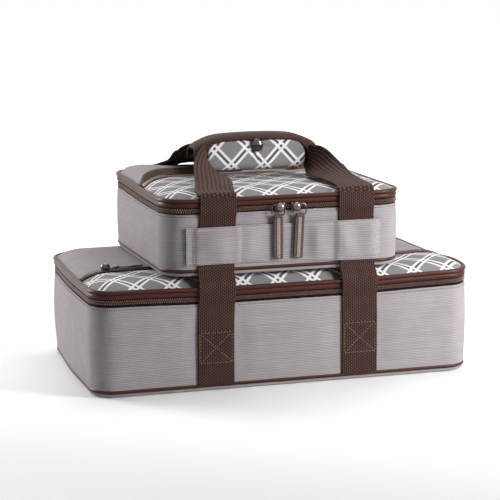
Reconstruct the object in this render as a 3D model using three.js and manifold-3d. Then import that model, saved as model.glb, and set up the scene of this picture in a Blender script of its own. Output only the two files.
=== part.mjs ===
// Double-decker casserole carrier: two insulated zip-lid carriers held together by their
// webbing handles, which run up through bands on the upper one into a padded grip.
// Millimetres. X runs along the front, Y to the rear, Z up. The origin is the middle of the base.

import * as THREE from 'three';
import Module from 'manifold-3d';
import { mergeGeometries, mergeVertices } from 'three/addons/utils/BufferGeometryUtils.js';

// Driving sizes of the two carriers
const LOWER_WIDTH = 420;
const LOWER_DEPTH = 250;
const LOWER_WALL_TOP = 94;
const LOWER_CORNER = 26;
const LOWER_CROWN = 7;
const UPPER_WIDTH = 264;
const UPPER_DEPTH = 236;
const UPPER_WALL_HEIGHT = 63;
const UPPER_CORNER = 28;
const UPPER_CROWN = 6;

// Cloth, foam, board and cord
const SEAM_GAP = 0.3;
const SHELL_CLOTH = 1.2;
const FOAM_LINER = 5;
const BASE_BOARD = 2.4;
const TAPE_CLOTH = 1;
const WEBBING_WIDTH = 40;
const WEBBING_THICK = 1.6;
const BAND_CLOTH = 1.5;
const CUT_OVERRUN = 6;

// Base of a carrier
const BASE_PIPING_R = 2.4;
const BASE_PIPING_INSET = 1.2;
const BASE_PIPING_RISE = 5;
const BASE_EDGE_RISE = 2.4;
const BASE_FLAT_INSET = 8;
const LINER_FILLET = 3;
const MIN_CORNER = 2;

// Zip band, from the top of the wall up to the lid
const CHAIN_RISE = 6.3;
const TOOTH_MESH = 3;
const TOOTH_PITCH = 9;
const TOOTH_FLARE = 0.3;
const ZIP_PROUD = 0.5;
const CHAIN_END_FROM_REAR = 36;
const LID_TAPE_HEIGHT = 2.1;
const GUSSET_HEIGHT = 3.9;
const LID_PIPING_R = 2.1;
const LID_PIPING_INSET = 0.9;
const LINER_RIM_DROP = 0.8;

// Crown of a lid: how far in from the edge it rises, and its half-way ring
const CROWN_EDGE_INSET = 3.5;
const CROWN_MID_INSET = 14;
const CROWN_FULL_INSET = 34;
const CROWN_MID_SHARE = 0.6;
const CROWN_EDGE_DROP = 1.2;

// Zipped pocket across each lid
const LOWER_POCKET_Y = -45;
const UPPER_POCKET_Y = 26;
const LOWER_POCKET_BEND = 5;
const UPPER_POCKET_BEND = 34;
const POCKET_BEND_RUN = 62;
const POCKET_TAPE_WIDTH = 9;
const POCKET_END_SHORT = 2.5;
const POCKET_TAPE_SUNK = 0.2;
const POCKET_COIL_WIDTH = 2.8;
const POCKET_COIL_HEIGHT = 0.9;
const POCKET_PIPING_R = 1;
const UPPER_POCKET_SLIDER_X = -45;

// Zip sliders, their wire rings and ribbon tabs
const SLIDER_LENGTH = 11;
const SLIDER_TAIL_LENGTH = 3;
const SLIDER_TAIL_HALF = 2.6;
const SLIDER_HALF_HEIGHT = 4.6;
const SLIDER_PLATE = 1.5;
const DOME_HALF_WIDTH = 3.3;
const DOME_HALF_HEIGHT = 4.2;
const DOME_RISE = 3.9;
const RING_WIRE_R = 0.65;
const RING_WIDTH = 15.2;
const RING_HEIGHT = 10;
const RING_CORNER = 1.8;
const RING_STANDOFF = 2;
const RING_ABOVE_CHAIN = 1;
const RING_SHIFT = 3;
const TAB_WIDTH = 10.5;
const TAB_LENGTH = 46;
const TAB_THICK = 1.6;
const TAB_EYE_R = 1.9;
const UPPER_LEFT_SLIDER_X = -7.5;
const UPPER_RIGHT_SLIDER_X = 10.5;
const LOWER_FRONT_SLIDER_Y = -12;
const LOWER_REAR_SLIDER_Y = 10;

// Pocket slider and its cord pull
const POCKET_SLIDER_LENGTH = 8;
const POCKET_SLIDER_WIDTH = 7;
const POCKET_SLIDER_PLATE = 1.2;
const POCKET_SLIDER_BEVEL = 0.3;
const POCKET_DOME_R = 2.5;
const POCKET_RING_WIDTH = 8.6;
const POCKET_RING_HEIGHT = 7;
const POCKET_RING_WIRE_R = 0.5;
const POCKET_RING_RISE = 1.1;
const POCKET_PULL_LENGTH = 29;
const POCKET_PULL_WIDTH = 4.4;
const POCKET_PULL_THICK = 1.4;
const POCKET_EYE_R = 1.4;
const POCKET_PULL_REACH = POCKET_RING_HEIGHT + POCKET_PULL_LENGTH;
const POCKET_PULL_END_GAP = 5;
const LOWER_POCKET_SLIDER_X = -(UPPER_WIDTH / 2 + POCKET_PULL_REACH + POCKET_PULL_END_GAP);

// Webbing handles
const STRAP_X = 78.5;
const STRAP_FOOT_Z = 8;
const STRAP_FREE_Z = 63.7;
const STRAP_EASE = 4;
const BEND_RISE = 6;
const BEND_RUN = 10;
const HANDLE_STEPS_PER_SPAN = 2;
const GRIP_HALF_LENGTH = 57;
const GRIP_HALF_DEPTH = 18;
const GRIP_HALF_HEIGHT = 17.7;
const GRIP_GAP = 7.5;
const GRIP_END_ROUND = 5;
const GRIP_END_SHARE = 0.82;
const GRIP_SQUARENESS = 4;
const GRIP_SIDES = 20;
const GRIP_FLAP_DEPTH = 5.9;
const GRIP_SLOT_Y = 9.5;
const HELD_WEBBING_WIDTH = 28;
const GRIP_BAND_WIDTH = 34;
const GRIP_BAND_END_WIDTH = 24;
const GRIP_BAND_REACH = 13;
const GRIP_BAND_LIFT = 0.9;
const GRIP_BAND_DROOP = 3.2;

// Band on the upper carrier that the webbing runs through
const SLEEVE_HALF_LENGTH = 106;
const SLEEVE_BOTTOM_RISE = 11.5;
const SLEEVE_HEIGHT = 39;
const SLEEVE_RAMP = 3;
const SLEEVE_EASE = 0.6;

// Snap on the grip
const SNAP_R = 7;
const SNAP_RIM = 1;
const SNAP_DOME = 2.4;
const SNAP_POST_R = 1.6;
const SNAP_SOCKET_R = 4.5;
const SNAP_SOCKET_THICK = 1;
const SNAP_DROP = 7.8;
const SNAP_SHOULDER_SHARE = 0.7;

// Way of a handle from the lid to the grip: shares of the reach inwards, of the depth and of the rise,
// then of the bank, from lying flat to standing on edge, and of the narrowing
const HANDLE_SHARES = [
  [0.02, 0.6, 0.27, 0.1, 0], [0.07, 0.355, 0.57, 0.45, 0.1], [0.19, 0.16, 0.83, 0.75, 0.4],
  [0.42, 0.04, 0.95, 0.95, 0.75], [0.72, 0.002, 1, 1, 1], [0.9, 0, 1, 1, 1],
];

const CORNER_STEPS = 4;
const PIPE_SIDES = 7;
const CORD_SIDES = 6;
const WIRE_CORNER_STEPS = 2;
const EYE_STEPS = 6;

// Colour, roughness and metalness of each finish
const GREY_CLOTH = { color: 0x9c9496, roughness: 0.9, metalness: 0 };
const PLAID_CLOTH = { color: 0xb0aeb0, roughness: 0.85, metalness: 0 };
const BROWN_WEBBING = { color: 0x4d3833, roughness: 0.8, metalness: 0 };
const BROWN_CLOTH = { color: 0x6b4c44, roughness: 0.75, metalness: 0 };
const FOIL_LINER = { color: 0xc9cccf, roughness: 0.35, metalness: 0.5 };
const BOARD_FINISH = { color: 0x2e2c2c, roughness: 0.7, metalness: 0 };
const DARK_METAL = { color: 0x4b4542, roughness: 0.3, metalness: 0.9 };
const WIRE_METAL = { color: 0xa9a4a0, roughness: 0.25, metalness: 1 };

const wasm = await Module();
wasm.setup();

const object = new THREE.Group();

function addPiece(name, geometry, finish) {
  const mesh = new THREE.Mesh(geometry, new THREE.MeshStandardMaterial(finish));
  mesh.name = name;
  object.add(mesh);
  return mesh;
}

// Booleans

function toManifold(geometry) {
  const bare = geometry.clone();
  bare.deleteAttribute('normal');
  bare.deleteAttribute('uv');
  const merged = mergeVertices(bare);
  const mesh = new wasm.Mesh({
    numProp: 3,
    vertProperties: new Float32Array(merged.attributes.position.array),
    triVerts: new Uint32Array(merged.index.array),
  });
  return new wasm.Manifold(mesh);
}

function fromManifold(manifold) {
  const mesh = manifold.getMesh();
  const geometry = new THREE.BufferGeometry();
  geometry.setAttribute('position', new THREE.BufferAttribute(new Float32Array(mesh.vertProperties), 3));
  geometry.setIndex(new THREE.BufferAttribute(new Uint32Array(mesh.triVerts), 1));
  return geometry;
}

function cutAway(geometry, ...tools) {
  return fromManifold(tools.reduce((rest, tool) => rest.subtract(toManifold(tool)), toManifold(geometry)));
}

function keepInside(geometry, tool) {
  return fromManifold(toManifold(geometry).intersect(toManifold(tool)));
}

function joined(...geometries) {
  return fromManifold(geometries.map(toManifold).reduce((sum, next) => sum.add(next)));
}

// A closed solid through a row of sections with the same number of points each.
// A ring of sections closes on itself, and any other row gets a cap at each end.

function solidThrough(sections, isRing = false) {
  const count = sections[0].length;
  const points = sections.flat();
  const faces = [];
  const links = isRing ? sections.length : sections.length - 1;
  for (let row = 0; row < links; row += 1) {
    const here = row * count;
    const next = ((row + 1) % sections.length) * count;
    for (let side = 0; side < count; side += 1) {
      const beside = (side + 1) % count;
      faces.push([here + side, here + beside, next + beside], [here + side, next + beside, next + side]);
    }
  }
  if (!isRing) {
    addCap(points, faces, sections[0], 0, true);
    addCap(points, faces, sections[sections.length - 1], (sections.length - 1) * count, false);
  }
  return geometryOf(points, faces);
}

function addCap(points, faces, section, first, isReversed) {
  const middle = new THREE.Vector3();
  section.forEach((point) => middle.addScaledVector(point, 1 / section.length));
  const hub = points.push(middle) - 1;
  section.forEach((point, side) => {
    const a = first + side;
    const b = first + (side + 1) % section.length;
    faces.push(isReversed ? [hub, b, a] : [hub, a, b]);
  });
}

function geometryOf(points, faces) {
  let volume = 0;
  faces.forEach(([a, b, c]) => {
    volume += points[a].dot(new THREE.Vector3().crossVectors(points[b], points[c]));
  });
  const order = volume < 0 ? faces.map(([a, b, c]) => [a, c, b]) : faces;
  const geometry = new THREE.BufferGeometry();
  geometry.setAttribute('position', new THREE.Float32BufferAttribute(points.flatMap((p) => p.toArray()), 3));
  geometry.setIndex(order.flat());
  return geometry;
}

// Rounded outline of a carrier, moved in from its outer face, at one height

function outline(carrier, inset, z) {
  const radius = Math.max(carrier.corner - inset, MIN_CORNER);
  const halfX = carrier.width / 2 - inset - radius;
  const halfY = carrier.depth / 2 - inset - radius;
  const centres = [[halfX, -halfY], [halfX, halfY], [-halfX, halfY], [-halfX, -halfY]];
  return centres.flatMap(([cx, cy], quarter) => Array.from({ length: CORNER_STEPS + 1 }, (unused, step) => {
    const angle = (quarter - 1 + step / CORNER_STEPS) * Math.PI / 2;
    return new THREE.Vector3(cx + radius * Math.cos(angle), cy + radius * Math.sin(angle), z);
  }));
}

function wallRing(carrier, inset, thickness, bottom, top) {
  return solidThrough([
    outline(carrier, inset, bottom), outline(carrier, inset, top),
    outline(carrier, inset + thickness, top), outline(carrier, inset + thickness, bottom),
  ], true);
}

function cordRing(carrier, inset, z, radius) {
  const path = outline(carrier, inset, z);
  const sections = path.map((point, index) => {
    const before = path[(index + path.length - 1) % path.length];
    const after = path[(index + 1) % path.length];
    const outward = new THREE.Vector3(after.y - before.y, before.x - after.x, 0).normalize();
    return circleSection(point, outward, new THREE.Vector3(0, 0, 1), radius, PIPE_SIDES);
  });
  return solidThrough(sections, true);
}

function circleSection(centre, axisA, axisB, radius, sides) {
  return Array.from({ length: sides }, (unused, side) => {
    const angle = (side + 1 / 2) / sides * 2 * Math.PI;
    return centre.clone()
      .addScaledVector(axisA, radius * Math.cos(angle))
      .addScaledVector(axisB, radius * Math.sin(angle));
  });
}

// The wall line that the zip follows: left side, front, right side, or round the rear

function zipLine(carrier, inset) {
  const radius = carrier.corner - inset;
  const x = carrier.width / 2 - inset;
  const y = carrier.depth / 2 - inset;
  const end = carrier.depth / 2 - CHAIN_END_FROM_REAR;
  const line = new THREE.Path();
  line.moveTo(-x, end);
  line.lineTo(-x, radius - y);
  line.absarc(radius - x, radius - y, radius, Math.PI, 3 * Math.PI / 2, false);
  line.lineTo(x - radius, -y);
  line.absarc(x - radius, radius - y, radius, -Math.PI / 2, 0, false);
  line.lineTo(x, end);
  return line;
}

function rearLine(carrier, inset) {
  const radius = carrier.corner - inset;
  const x = carrier.width / 2 - inset;
  const y = carrier.depth / 2 - inset;
  const end = carrier.depth / 2 - CHAIN_END_FROM_REAR + SEAM_GAP;
  const line = new THREE.Path();
  line.moveTo(x, end);
  line.lineTo(x, y - radius);
  line.absarc(x - radius, y - radius, radius, 0, Math.PI / 2, false);
  line.lineTo(radius - x, y);
  line.absarc(radius - x, y - radius, radius, Math.PI / 2, Math.PI, false);
  line.lineTo(-x, end);
  return line;
}

function openWall(makeLine, carrier, outset, bottom, top) {
  const outer = makeLine(carrier, -outset).getPoints(CORNER_STEPS);
  const inner = makeLine(carrier, TAPE_CLOTH).getPoints(CORNER_STEPS);
  const sections = outer.map((point, index) => [
    new THREE.Vector3(point.x, point.y, bottom), new THREE.Vector3(point.x, point.y, top),
    new THREE.Vector3(inner[index].x, inner[index].y, top),
    new THREE.Vector3(inner[index].x, inner[index].y, bottom),
  ]);
  return solidThrough(sections);
}

// Heights of a carrier's layers, all from its base and the top of its wall

function makeCarrier(name, width, depth, corner, crown, base, wallTop, pocketY, pocketBend) {
  const chain = wallTop + CHAIN_RISE;
  const lidTapeTop = chain + TOOTH_MESH / 2 + SEAM_GAP + LID_TAPE_HEIGHT;
  const gussetBottom = lidTapeTop + SEAM_GAP;
  const pipingZ = gussetBottom + GUSSET_HEIGHT + LID_PIPING_R + SEAM_GAP / 2;
  const lidEdge = pipingZ + LID_PIPING_R;
  return {
    name, width, depth, corner, crown, base, wallTop, pocketY, pocketBend,
    chain, lidTapeTop, gussetBottom, pipingZ, lidEdge,
    lidTop: lidEdge + crown,
  };
}

function crownHeight(carrier, inset) {
  const edge = carrier.lidEdge - CROWN_EDGE_DROP;
  const rise = carrier.lidTop - edge;
  if (inset >= CROWN_FULL_INSET) {
    return edge + rise;
  }
  if (inset >= CROWN_MID_INSET) {
    const share = (inset - CROWN_MID_INSET) / (CROWN_FULL_INSET - CROWN_MID_INSET);
    return edge + rise * (CROWN_MID_SHARE + (1 - CROWN_MID_SHARE) * share);
  }
  return edge + rise * CROWN_MID_SHARE * (inset - CROWN_EDGE_INSET) / (CROWN_MID_INSET - CROWN_EDGE_INSET);
}

// Tray: base, board, wall, liner and the lower half of the zip

function addTray(carrier) {
  const { name, base, wallTop } = carrier;
  const edgeInset = BASE_PIPING_INSET + BASE_PIPING_R + SEAM_GAP;
  addPiece(`${name}_base_panel`, solidThrough([
    outline(carrier, BASE_FLAT_INSET, base), outline(carrier, edgeInset, base + BASE_EDGE_RISE),
    outline(carrier, edgeInset, base + BASE_EDGE_RISE + SHELL_CLOTH),
    outline(carrier, BASE_FLAT_INSET, base + SHELL_CLOTH),
  ]), GREY_CLOTH);

  const boardBottom = base + SHELL_CLOTH + SEAM_GAP;
  addPiece(`${name}_base_board`, solidThrough([
    outline(carrier, BASE_FLAT_INSET + SEAM_GAP, boardBottom),
    outline(carrier, BASE_FLAT_INSET + SEAM_GAP, boardBottom + BASE_BOARD),
  ]), BOARD_FINISH);

  const pipingZ = base + BASE_PIPING_RISE;
  addPiece(`${name}_base_piping`, cordRing(carrier, BASE_PIPING_INSET, pipingZ, BASE_PIPING_R), BROWN_CLOTH);

  const wallBottom = pipingZ + BASE_PIPING_R + SEAM_GAP;
  addPiece(`${name}_outer_wall`, wallRing(carrier, 0, SHELL_CLOTH, wallBottom, wallTop), GREY_CLOTH);

  addPiece(`${name}_tray_liner`, trayLiner(carrier, boardBottom + BASE_BOARD + SEAM_GAP), FOIL_LINER);
  addPiece(`${name}_tray_zip`, zipHalf(carrier, true), BROWN_CLOTH);
}

function trayLiner(carrier, floor) {
  const outerInset = SHELL_CLOTH + SEAM_GAP;
  const innerInset = outerInset + FOAM_LINER;
  const rim = carrier.chain - LINER_RIM_DROP;
  const shoulder = floor + LINER_FILLET + FOAM_LINER - SHELL_CLOTH;
  const skirtInset = BASE_PIPING_INSET + BASE_PIPING_R + SHELL_CLOTH;
  return solidThrough([
    outline(carrier, BASE_FLAT_INSET, floor),
    outline(carrier, skirtInset, floor + SHELL_CLOTH),
    outline(carrier, outerInset, shoulder),
    outline(carrier, outerInset, rim),
    outline(carrier, innerInset, rim),
    outline(carrier, innerInset, floor + FOAM_LINER + LINER_FILLET),
    outline(carrier, innerInset + LINER_FILLET, floor + FOAM_LINER),
  ]);
}

// Half of the zip: a strip notched along one edge, whose teeth widen to their heads.
// A notch is the other half's tooth with a gap all round, so the two rows lock into each other.

function zipHalf(carrier, isTray) {
  const reach = TOOTH_MESH / 2;
  const strip = isTray
    ? openWall(zipLine, carrier, ZIP_PROUD, carrier.wallTop + SEAM_GAP, carrier.chain + reach)
    : openWall(zipLine, carrier, ZIP_PROUD, carrier.chain - reach, carrier.lidTapeTop);
  const line = zipLine(carrier, 0);
  const count = Math.floor(line.getLength() / TOOTH_PITCH);
  const firstShare = isTray ? 3 / 4 : 1 / 4;
  const notches = Array.from({ length: count }, (unused, index) => {
    const share = (index + firstShare) / count;
    return notch(carrier, line.getPointAt(share), line.getTangentAt(share), isTray);
  });
  return cutAway(strip, mergeGeometries(notches));
}

function notch(carrier, point, along, isTray) {
  const floor = TOOTH_MESH / 2 + SEAM_GAP;
  const mouth = TOOTH_MESH / 2 + CUT_OVERRUN;
  const narrowing = TOOTH_FLARE / (2 * TOOTH_MESH);
  const half = TOOTH_PITCH / 4 + SEAM_GAP / 2;
  const shape = new THREE.Shape();
  shape.moveTo(-half - narrowing * floor, -floor);
  shape.lineTo(half + narrowing * floor, -floor);
  shape.lineTo(half - narrowing * mouth, mouth);
  shape.lineTo(narrowing * mouth - half, mouth);
  const depth = 2 * CUT_OVERRUN;
  const prism = new THREE.ExtrudeGeometry(shape, { depth, bevelEnabled: false });
  prism.translate(0, 0, -CUT_OVERRUN);
  prism.rotateX(isTray ? Math.PI / 2 : -Math.PI / 2);
  prism.rotateZ(Math.atan2(along.y, along.x));
  return prism.translate(point.x, point.y, carrier.chain);
}

// Lid: upper half of the zip, gusset, piping, foam liner, two top panels and the rear hinge strip

function addLid(carrier) {
  const { name, chain, lidTapeTop, gussetBottom } = carrier;
  addPiece(`${name}_lid_zip`, zipHalf(carrier, false), BROWN_CLOTH);
  addPiece(`${name}_lid_hinge`,
    openWall(rearLine, carrier, 0, carrier.wallTop + SEAM_GAP, lidTapeTop), BROWN_CLOTH);
  addPiece(`${name}_lid_gusset`,
    wallRing(carrier, 0, SHELL_CLOTH, gussetBottom, gussetBottom + GUSSET_HEIGHT), BROWN_CLOTH);
  addPiece(`${name}_lid_piping`, cordRing(carrier, LID_PIPING_INSET, carrier.pipingZ, LID_PIPING_R), BROWN_CLOTH);

  const linerInset = SHELL_CLOTH + SEAM_GAP;
  const underPanel = SHELL_CLOTH + SEAM_GAP;
  addPiece(`${name}_lid_liner`, solidThrough([
    outline(carrier, linerInset, chain + SEAM_GAP),
    outline(carrier, linerInset, gussetBottom + GUSSET_HEIGHT - SEAM_GAP),
    outline(carrier, CROWN_EDGE_INSET, gussetBottom + GUSSET_HEIGHT + SEAM_GAP),
    ...crownRings(carrier, -underPanel),
  ]), FOIL_LINER);

  const skin = solidThrough([...crownRings(carrier, SEAM_GAP - underPanel).reverse(), ...crownRings(carrier, 0)]);
  const line = pocketLine(carrier);
  const behindTape = POCKET_TAPE_WIDTH / 2 + SEAM_GAP;
  const beforePiping = behindTape + 2 * POCKET_PIPING_R;
  addPiece(`${name}_plaid_panel`, keepInside(skin, regionBeside(carrier, line, -beforePiping)), PLAID_CLOTH);
  addPiece(`${name}_rear_panel`, keepInside(skin, regionBeside(carrier, line, behindTape)), GREY_CLOTH);
  addPiece(`${name}_pocket_tape`, pocketTape(line), BROWN_CLOTH);
}

function crownRings(carrier, lift) {
  return [CROWN_EDGE_INSET, CROWN_MID_INSET, CROWN_FULL_INSET].map(
    (inset) => outline(carrier, inset, crownHeight(carrier, inset) + lift),
  );
}

// The pocket zip runs straight across the lid and bends forward towards its left end

function pocketLine(carrier) {
  const edge = carrier.width / 2 - CROWN_EDGE_INSET - POCKET_END_SHORT;
  const mid = carrier.width / 2 - CROWN_MID_INSET;
  const full = carrier.width / 2 - CROWN_FULL_INSET;
  const bendEnd = edge - POCKET_BEND_RUN;
  const stops = [-edge, -mid, -(mid + full) / 2, -full, -(full + bendEnd) / 2, -bendEnd, full, mid, edge];
  return stops.map((x) => {
    const share = Math.max(0, (-bendEnd - x) / POCKET_BEND_RUN);
    return new THREE.Vector3(
      x, carrier.pocketY - carrier.pocketBend * share * share,
      crownHeight(carrier, carrier.width / 2 - Math.abs(x)),
    );
  });
}

function regionBeside(carrier, line, offset) {
  const far = Math.sign(offset) * (carrier.depth + CUT_OVERRUN);
  const reach = carrier.width / 2 + CUT_OVERRUN;
  const shape = new THREE.Shape();
  shape.moveTo(-reach, line[0].y + offset);
  line.forEach((point) => shape.lineTo(point.x, point.y + offset));
  shape.lineTo(reach, line[line.length - 1].y + offset);
  shape.lineTo(reach, far);
  shape.lineTo(-reach, far);
  const prism = new THREE.ExtrudeGeometry(shape, { depth: 4 * carrier.crown + CUT_OVERRUN, bevelEnabled: false });
  prism.translate(0, 0, carrier.chain);
  return prism;
}

// Pocket tape: a bead of piping along its front edge, and the closed coil along its middle

function pocketTape(line) {
  const half = POCKET_TAPE_WIDTH / 2;
  const coil = POCKET_COIL_WIDTH / 2;
  const top = -POCKET_TAPE_SUNK;
  const bead = POCKET_PIPING_R;
  const beadTop = 2 * bead + top - TAPE_CLOTH;
  const profile = [
    [-half - 2 * bead, top - TAPE_CLOTH], [half, top - TAPE_CLOTH], [half, top], [coil, top],
    [coil / 2, top + POCKET_COIL_HEIGHT], [-coil / 2, top + POCKET_COIL_HEIGHT], [-coil, top], [-half, top],
    [-half - bead / 2, beadTop], [-half - 3 * bead / 2, beadTop], [-half - 2 * bead, beadTop - bead],
  ];
  return solidThrough(line.map(
    (point) => profile.map(([back, up]) => new THREE.Vector3(point.x, point.y + back, point.z + up)),
  ));
}

// Zip slider, made at the front with X along the chain and -Y outwards, then turned into place

function sliderBody(facing) {
  const plateOut = ZIP_PROUD + SEAM_GAP + SLIDER_PLATE;
  const plate = sliderOutline(facing, SLIDER_PLATE);
  plate.translate(0, -ZIP_PROUD - SEAM_GAP, 0);

  const dome = new THREE.SphereGeometry(1, 10, 8);
  dome.scale(DOME_HALF_WIDTH, DOME_RISE, DOME_HALF_HEIGHT);
  dome.translate(0, -plateOut, 0);
  const outside = new THREE.BoxGeometry(SLIDER_LENGTH, 2 * DOME_RISE, 2 * SLIDER_HALF_HEIGHT);
  outside.translate(0, SLIDER_PLATE / 2 - plateOut - DOME_RISE, 0);
  const ringWire = RING_WIRE_R + SEAM_GAP;
  const tunnel = new THREE.CylinderGeometry(ringWire, ringWire, SLIDER_LENGTH, PIPE_SIDES);
  tunnel.rotateZ(Math.PI / 2);
  tunnel.translate(0, -plateOut - RING_STANDOFF, RING_ABOVE_CHAIN);
  return cutAway(joined(plate, keepInside(dome, outside)), tunnel);
}

function sliderOutline(facing, depth) {
  const half = facing * SLIDER_LENGTH / 2;
  const shoulder = half - facing * SLIDER_TAIL_LENGTH;
  const shield = new THREE.Shape();
  shield.moveTo(-half, -SLIDER_HALF_HEIGHT);
  shield.lineTo(shoulder, -SLIDER_HALF_HEIGHT);
  shield.quadraticCurveTo(half, -SLIDER_HALF_HEIGHT, half, -SLIDER_TAIL_HALF);
  shield.lineTo(half, SLIDER_TAIL_HALF);
  shield.quadraticCurveTo(half, SLIDER_HALF_HEIGHT, shoulder, SLIDER_HALF_HEIGHT);
  shield.lineTo(-half, SLIDER_HALF_HEIGHT);
  const prism = new THREE.ExtrudeGeometry(shield, { depth, bevelEnabled: false, curveSegments: 4 });
  prism.rotateX(Math.PI / 2);
  return prism;
}

// Wire loop that hangs from a bar along X at its top

function wireLoop(width, height, corner, wireR) {
  const half = width / 2;
  const path = new THREE.Path();
  path.moveTo(corner - half, 0);
  path.lineTo(half - corner, 0);
  path.absarc(half - corner, -corner, corner, Math.PI / 2, 0, true);
  path.lineTo(half, corner - height);
  path.absarc(half - corner, corner - height, corner, 0, -Math.PI / 2, true);
  path.lineTo(corner - half, -height);
  path.absarc(corner - half, corner - height, corner, -Math.PI / 2, -Math.PI, true);
  path.lineTo(-half, -corner);
  path.absarc(corner - half, -corner, corner, Math.PI, Math.PI / 2, true);
  const points = path.getPoints(WIRE_CORNER_STEPS).slice(0, -1);
  const outOfPlane = new THREE.Vector3(0, -1, 0);
  return solidThrough(points.map((point, index) => {
    const before = points[(index + points.length - 1) % points.length];
    const after = points[(index + 1) % points.length];
    const side = new THREE.Vector3(before.y - after.y, 0, after.x - before.x).normalize();
    return circleSection(new THREE.Vector3(point.x, 0, point.y), side, outOfPlane, wireR, CORD_SIDES);
  }), true);
}

// Ribbon pull: a folded strip whose eye, open or filled, goes round the foot of the wire loop

function ribbonPull(width, length, thick, eyeR, holeR) {
  const shape = new THREE.Shape();
  const half = thick / 2;
  const meet = Math.asin(half / eyeR);
  shape.absarc(0, 0, eyeR, meet - Math.PI / 2, 3 * Math.PI / 2 - meet, false);
  shape.lineTo(-half, eyeR - length);
  shape.lineTo(half, eyeR - length);
  if (holeR > 0) {
    const hole = new THREE.Path();
    hole.absarc(0, 0, holeR, 0, 2 * Math.PI, false);
    shape.holes.push(hole);
  }
  const pull = new THREE.ExtrudeGeometry(shape, { depth: width, bevelEnabled: false, curveSegments: EYE_STEPS });
  pull.translate(0, 0, -width / 2);
  pull.rotateX(Math.PI / 2);
  pull.rotateZ(Math.PI / 2);
  return pull;
}

function addSlider(carrier, which, x, y, turn, side) {
  const standoff = ZIP_PROUD + SEAM_GAP + SLIDER_PLATE + RING_STANDOFF;
  const start = `${carrier.name}_${which}`;
  const slider = addPiece(`${start}_slider`, sliderBody(side), DARK_METAL);
  const ring = addPiece(`${start}_ring`,
    wireLoop(RING_WIDTH, RING_HEIGHT, RING_CORNER, RING_WIRE_R), WIRE_METAL);
  ring.position.set(side * RING_SHIFT, -standoff, RING_ABOVE_CHAIN);
  const tab = addPiece(`${start}_tab`,
    ribbonPull(TAB_WIDTH, TAB_LENGTH, TAB_THICK, TAB_EYE_R, RING_WIRE_R + SEAM_GAP), BROWN_WEBBING);
  tab.position.set(side * RING_SHIFT, -standoff, RING_ABOVE_CHAIN - RING_HEIGHT);
  const place = new THREE.Group();
  place.position.set(x, y, carrier.chain);
  place.rotation.z = turn;
  place.add(slider, ring, tab);
  object.add(place);
}

// Pocket slider on the coil, with its pull lying along the zip towards +X

function addPocketSlider(carrier, x) {
  const half = POCKET_SLIDER_LENGTH / 2;
  const side = POCKET_SLIDER_WIDTH / 2;
  const shape = new THREE.Shape();
  shape.moveTo(-half, -side);
  shape.lineTo(half - side, -side);
  shape.quadraticCurveTo(half, -side, half, 0);
  shape.quadraticCurveTo(half, side, half - side, side);
  shape.lineTo(-half, side);
  const plate = new THREE.ExtrudeGeometry(shape, {
    depth: POCKET_SLIDER_PLATE - 2 * POCKET_SLIDER_BEVEL, bevelThickness: POCKET_SLIDER_BEVEL,
    bevelSize: POCKET_SLIDER_BEVEL, bevelOffset: -POCKET_SLIDER_BEVEL, bevelSegments: 1, curveSegments: 4,
  });
  plate.translate(0, 0, POCKET_SLIDER_BEVEL);
  const dome = new THREE.SphereGeometry(POCKET_DOME_R, 10, 8);
  dome.translate(0, 0, POCKET_SLIDER_PLATE);
  const above = new THREE.BoxGeometry(POCKET_SLIDER_LENGTH, POCKET_SLIDER_WIDTH, 2 * POCKET_DOME_R);
  above.translate(0, 0, POCKET_SLIDER_PLATE / 2 + POCKET_DOME_R);
  const wire = POCKET_RING_WIRE_R + SEAM_GAP;
  const tunnel = new THREE.CylinderGeometry(wire, wire, 2 * POCKET_SLIDER_WIDTH, PIPE_SIDES);
  const barRise = POCKET_SLIDER_PLATE + POCKET_RING_RISE;
  tunnel.translate(0, 0, barRise);
  const slider = addPiece(`${carrier.name}_pocket_slider`,
    cutAway(joined(plate, keepInside(dome, above)), tunnel), DARK_METAL);

  const loop = wireLoop(POCKET_RING_WIDTH, POCKET_RING_HEIGHT, RING_CORNER, POCKET_RING_WIRE_R);
  const strip = ribbonPull(POCKET_PULL_WIDTH, POCKET_PULL_LENGTH, POCKET_PULL_THICK, POCKET_EYE_R, 0);
  strip.translate(0, 0, -POCKET_RING_HEIGHT);
  const pullGeometry = joined(loop, strip);
  pullGeometry.rotateZ(Math.PI / 2);
  pullGeometry.rotateY(-Math.PI / 2);
  const pull = addPiece(`${carrier.name}_pocket_pull`, pullGeometry, BROWN_WEBBING);
  pull.position.z = barRise;

  const place = new THREE.Group();
  const coilTop = carrier.lidTop - POCKET_TAPE_SUNK + POCKET_COIL_HEIGHT;
  place.position.set(x, carrier.pocketY, coilTop + SEAM_GAP);
  place.add(slider, pull);
  object.add(place);
}

// Webbing: a flat strip through stations that each hold a centre, a direction across and a size

function webbing(stations) {
  return solidThrough(stations.map((station, index) => {
    const before = stations[Math.max(index - 1, 0)].at;
    const after = stations[Math.min(index + 1, stations.length - 1)].at;
    const along = new THREE.Vector3().subVectors(after, before).normalize();
    const across = station.across.clone().addScaledVector(along, -along.dot(station.across)).normalize();
    const normal = new THREE.Vector3().crossVectors(along, across);
    const side = station.width / 2;
    const up = station.thick / 2;
    return [[-side, -up], [side, -up], [side, up], [-side, up]].map(
      ([a, b]) => station.at.clone().addScaledVector(across, a).addScaledVector(normal, b),
    );
  }));
}

function flatStation(x, y, z) {
  return {
    at: new THREE.Vector3(x, y, z), across: new THREE.Vector3(1, 0, 0),
    width: WEBBING_WIDTH, thick: WEBBING_THICK,
  };
}

const STRAP_FLAT = SEAM_GAP + WEBBING_THICK / 2;
const STRAP_PROUD = LID_PIPING_R - LID_PIPING_INSET + STRAP_FLAT;

// Straps up the face of both carriers, sewn to the lower one and free above its stitching

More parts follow.
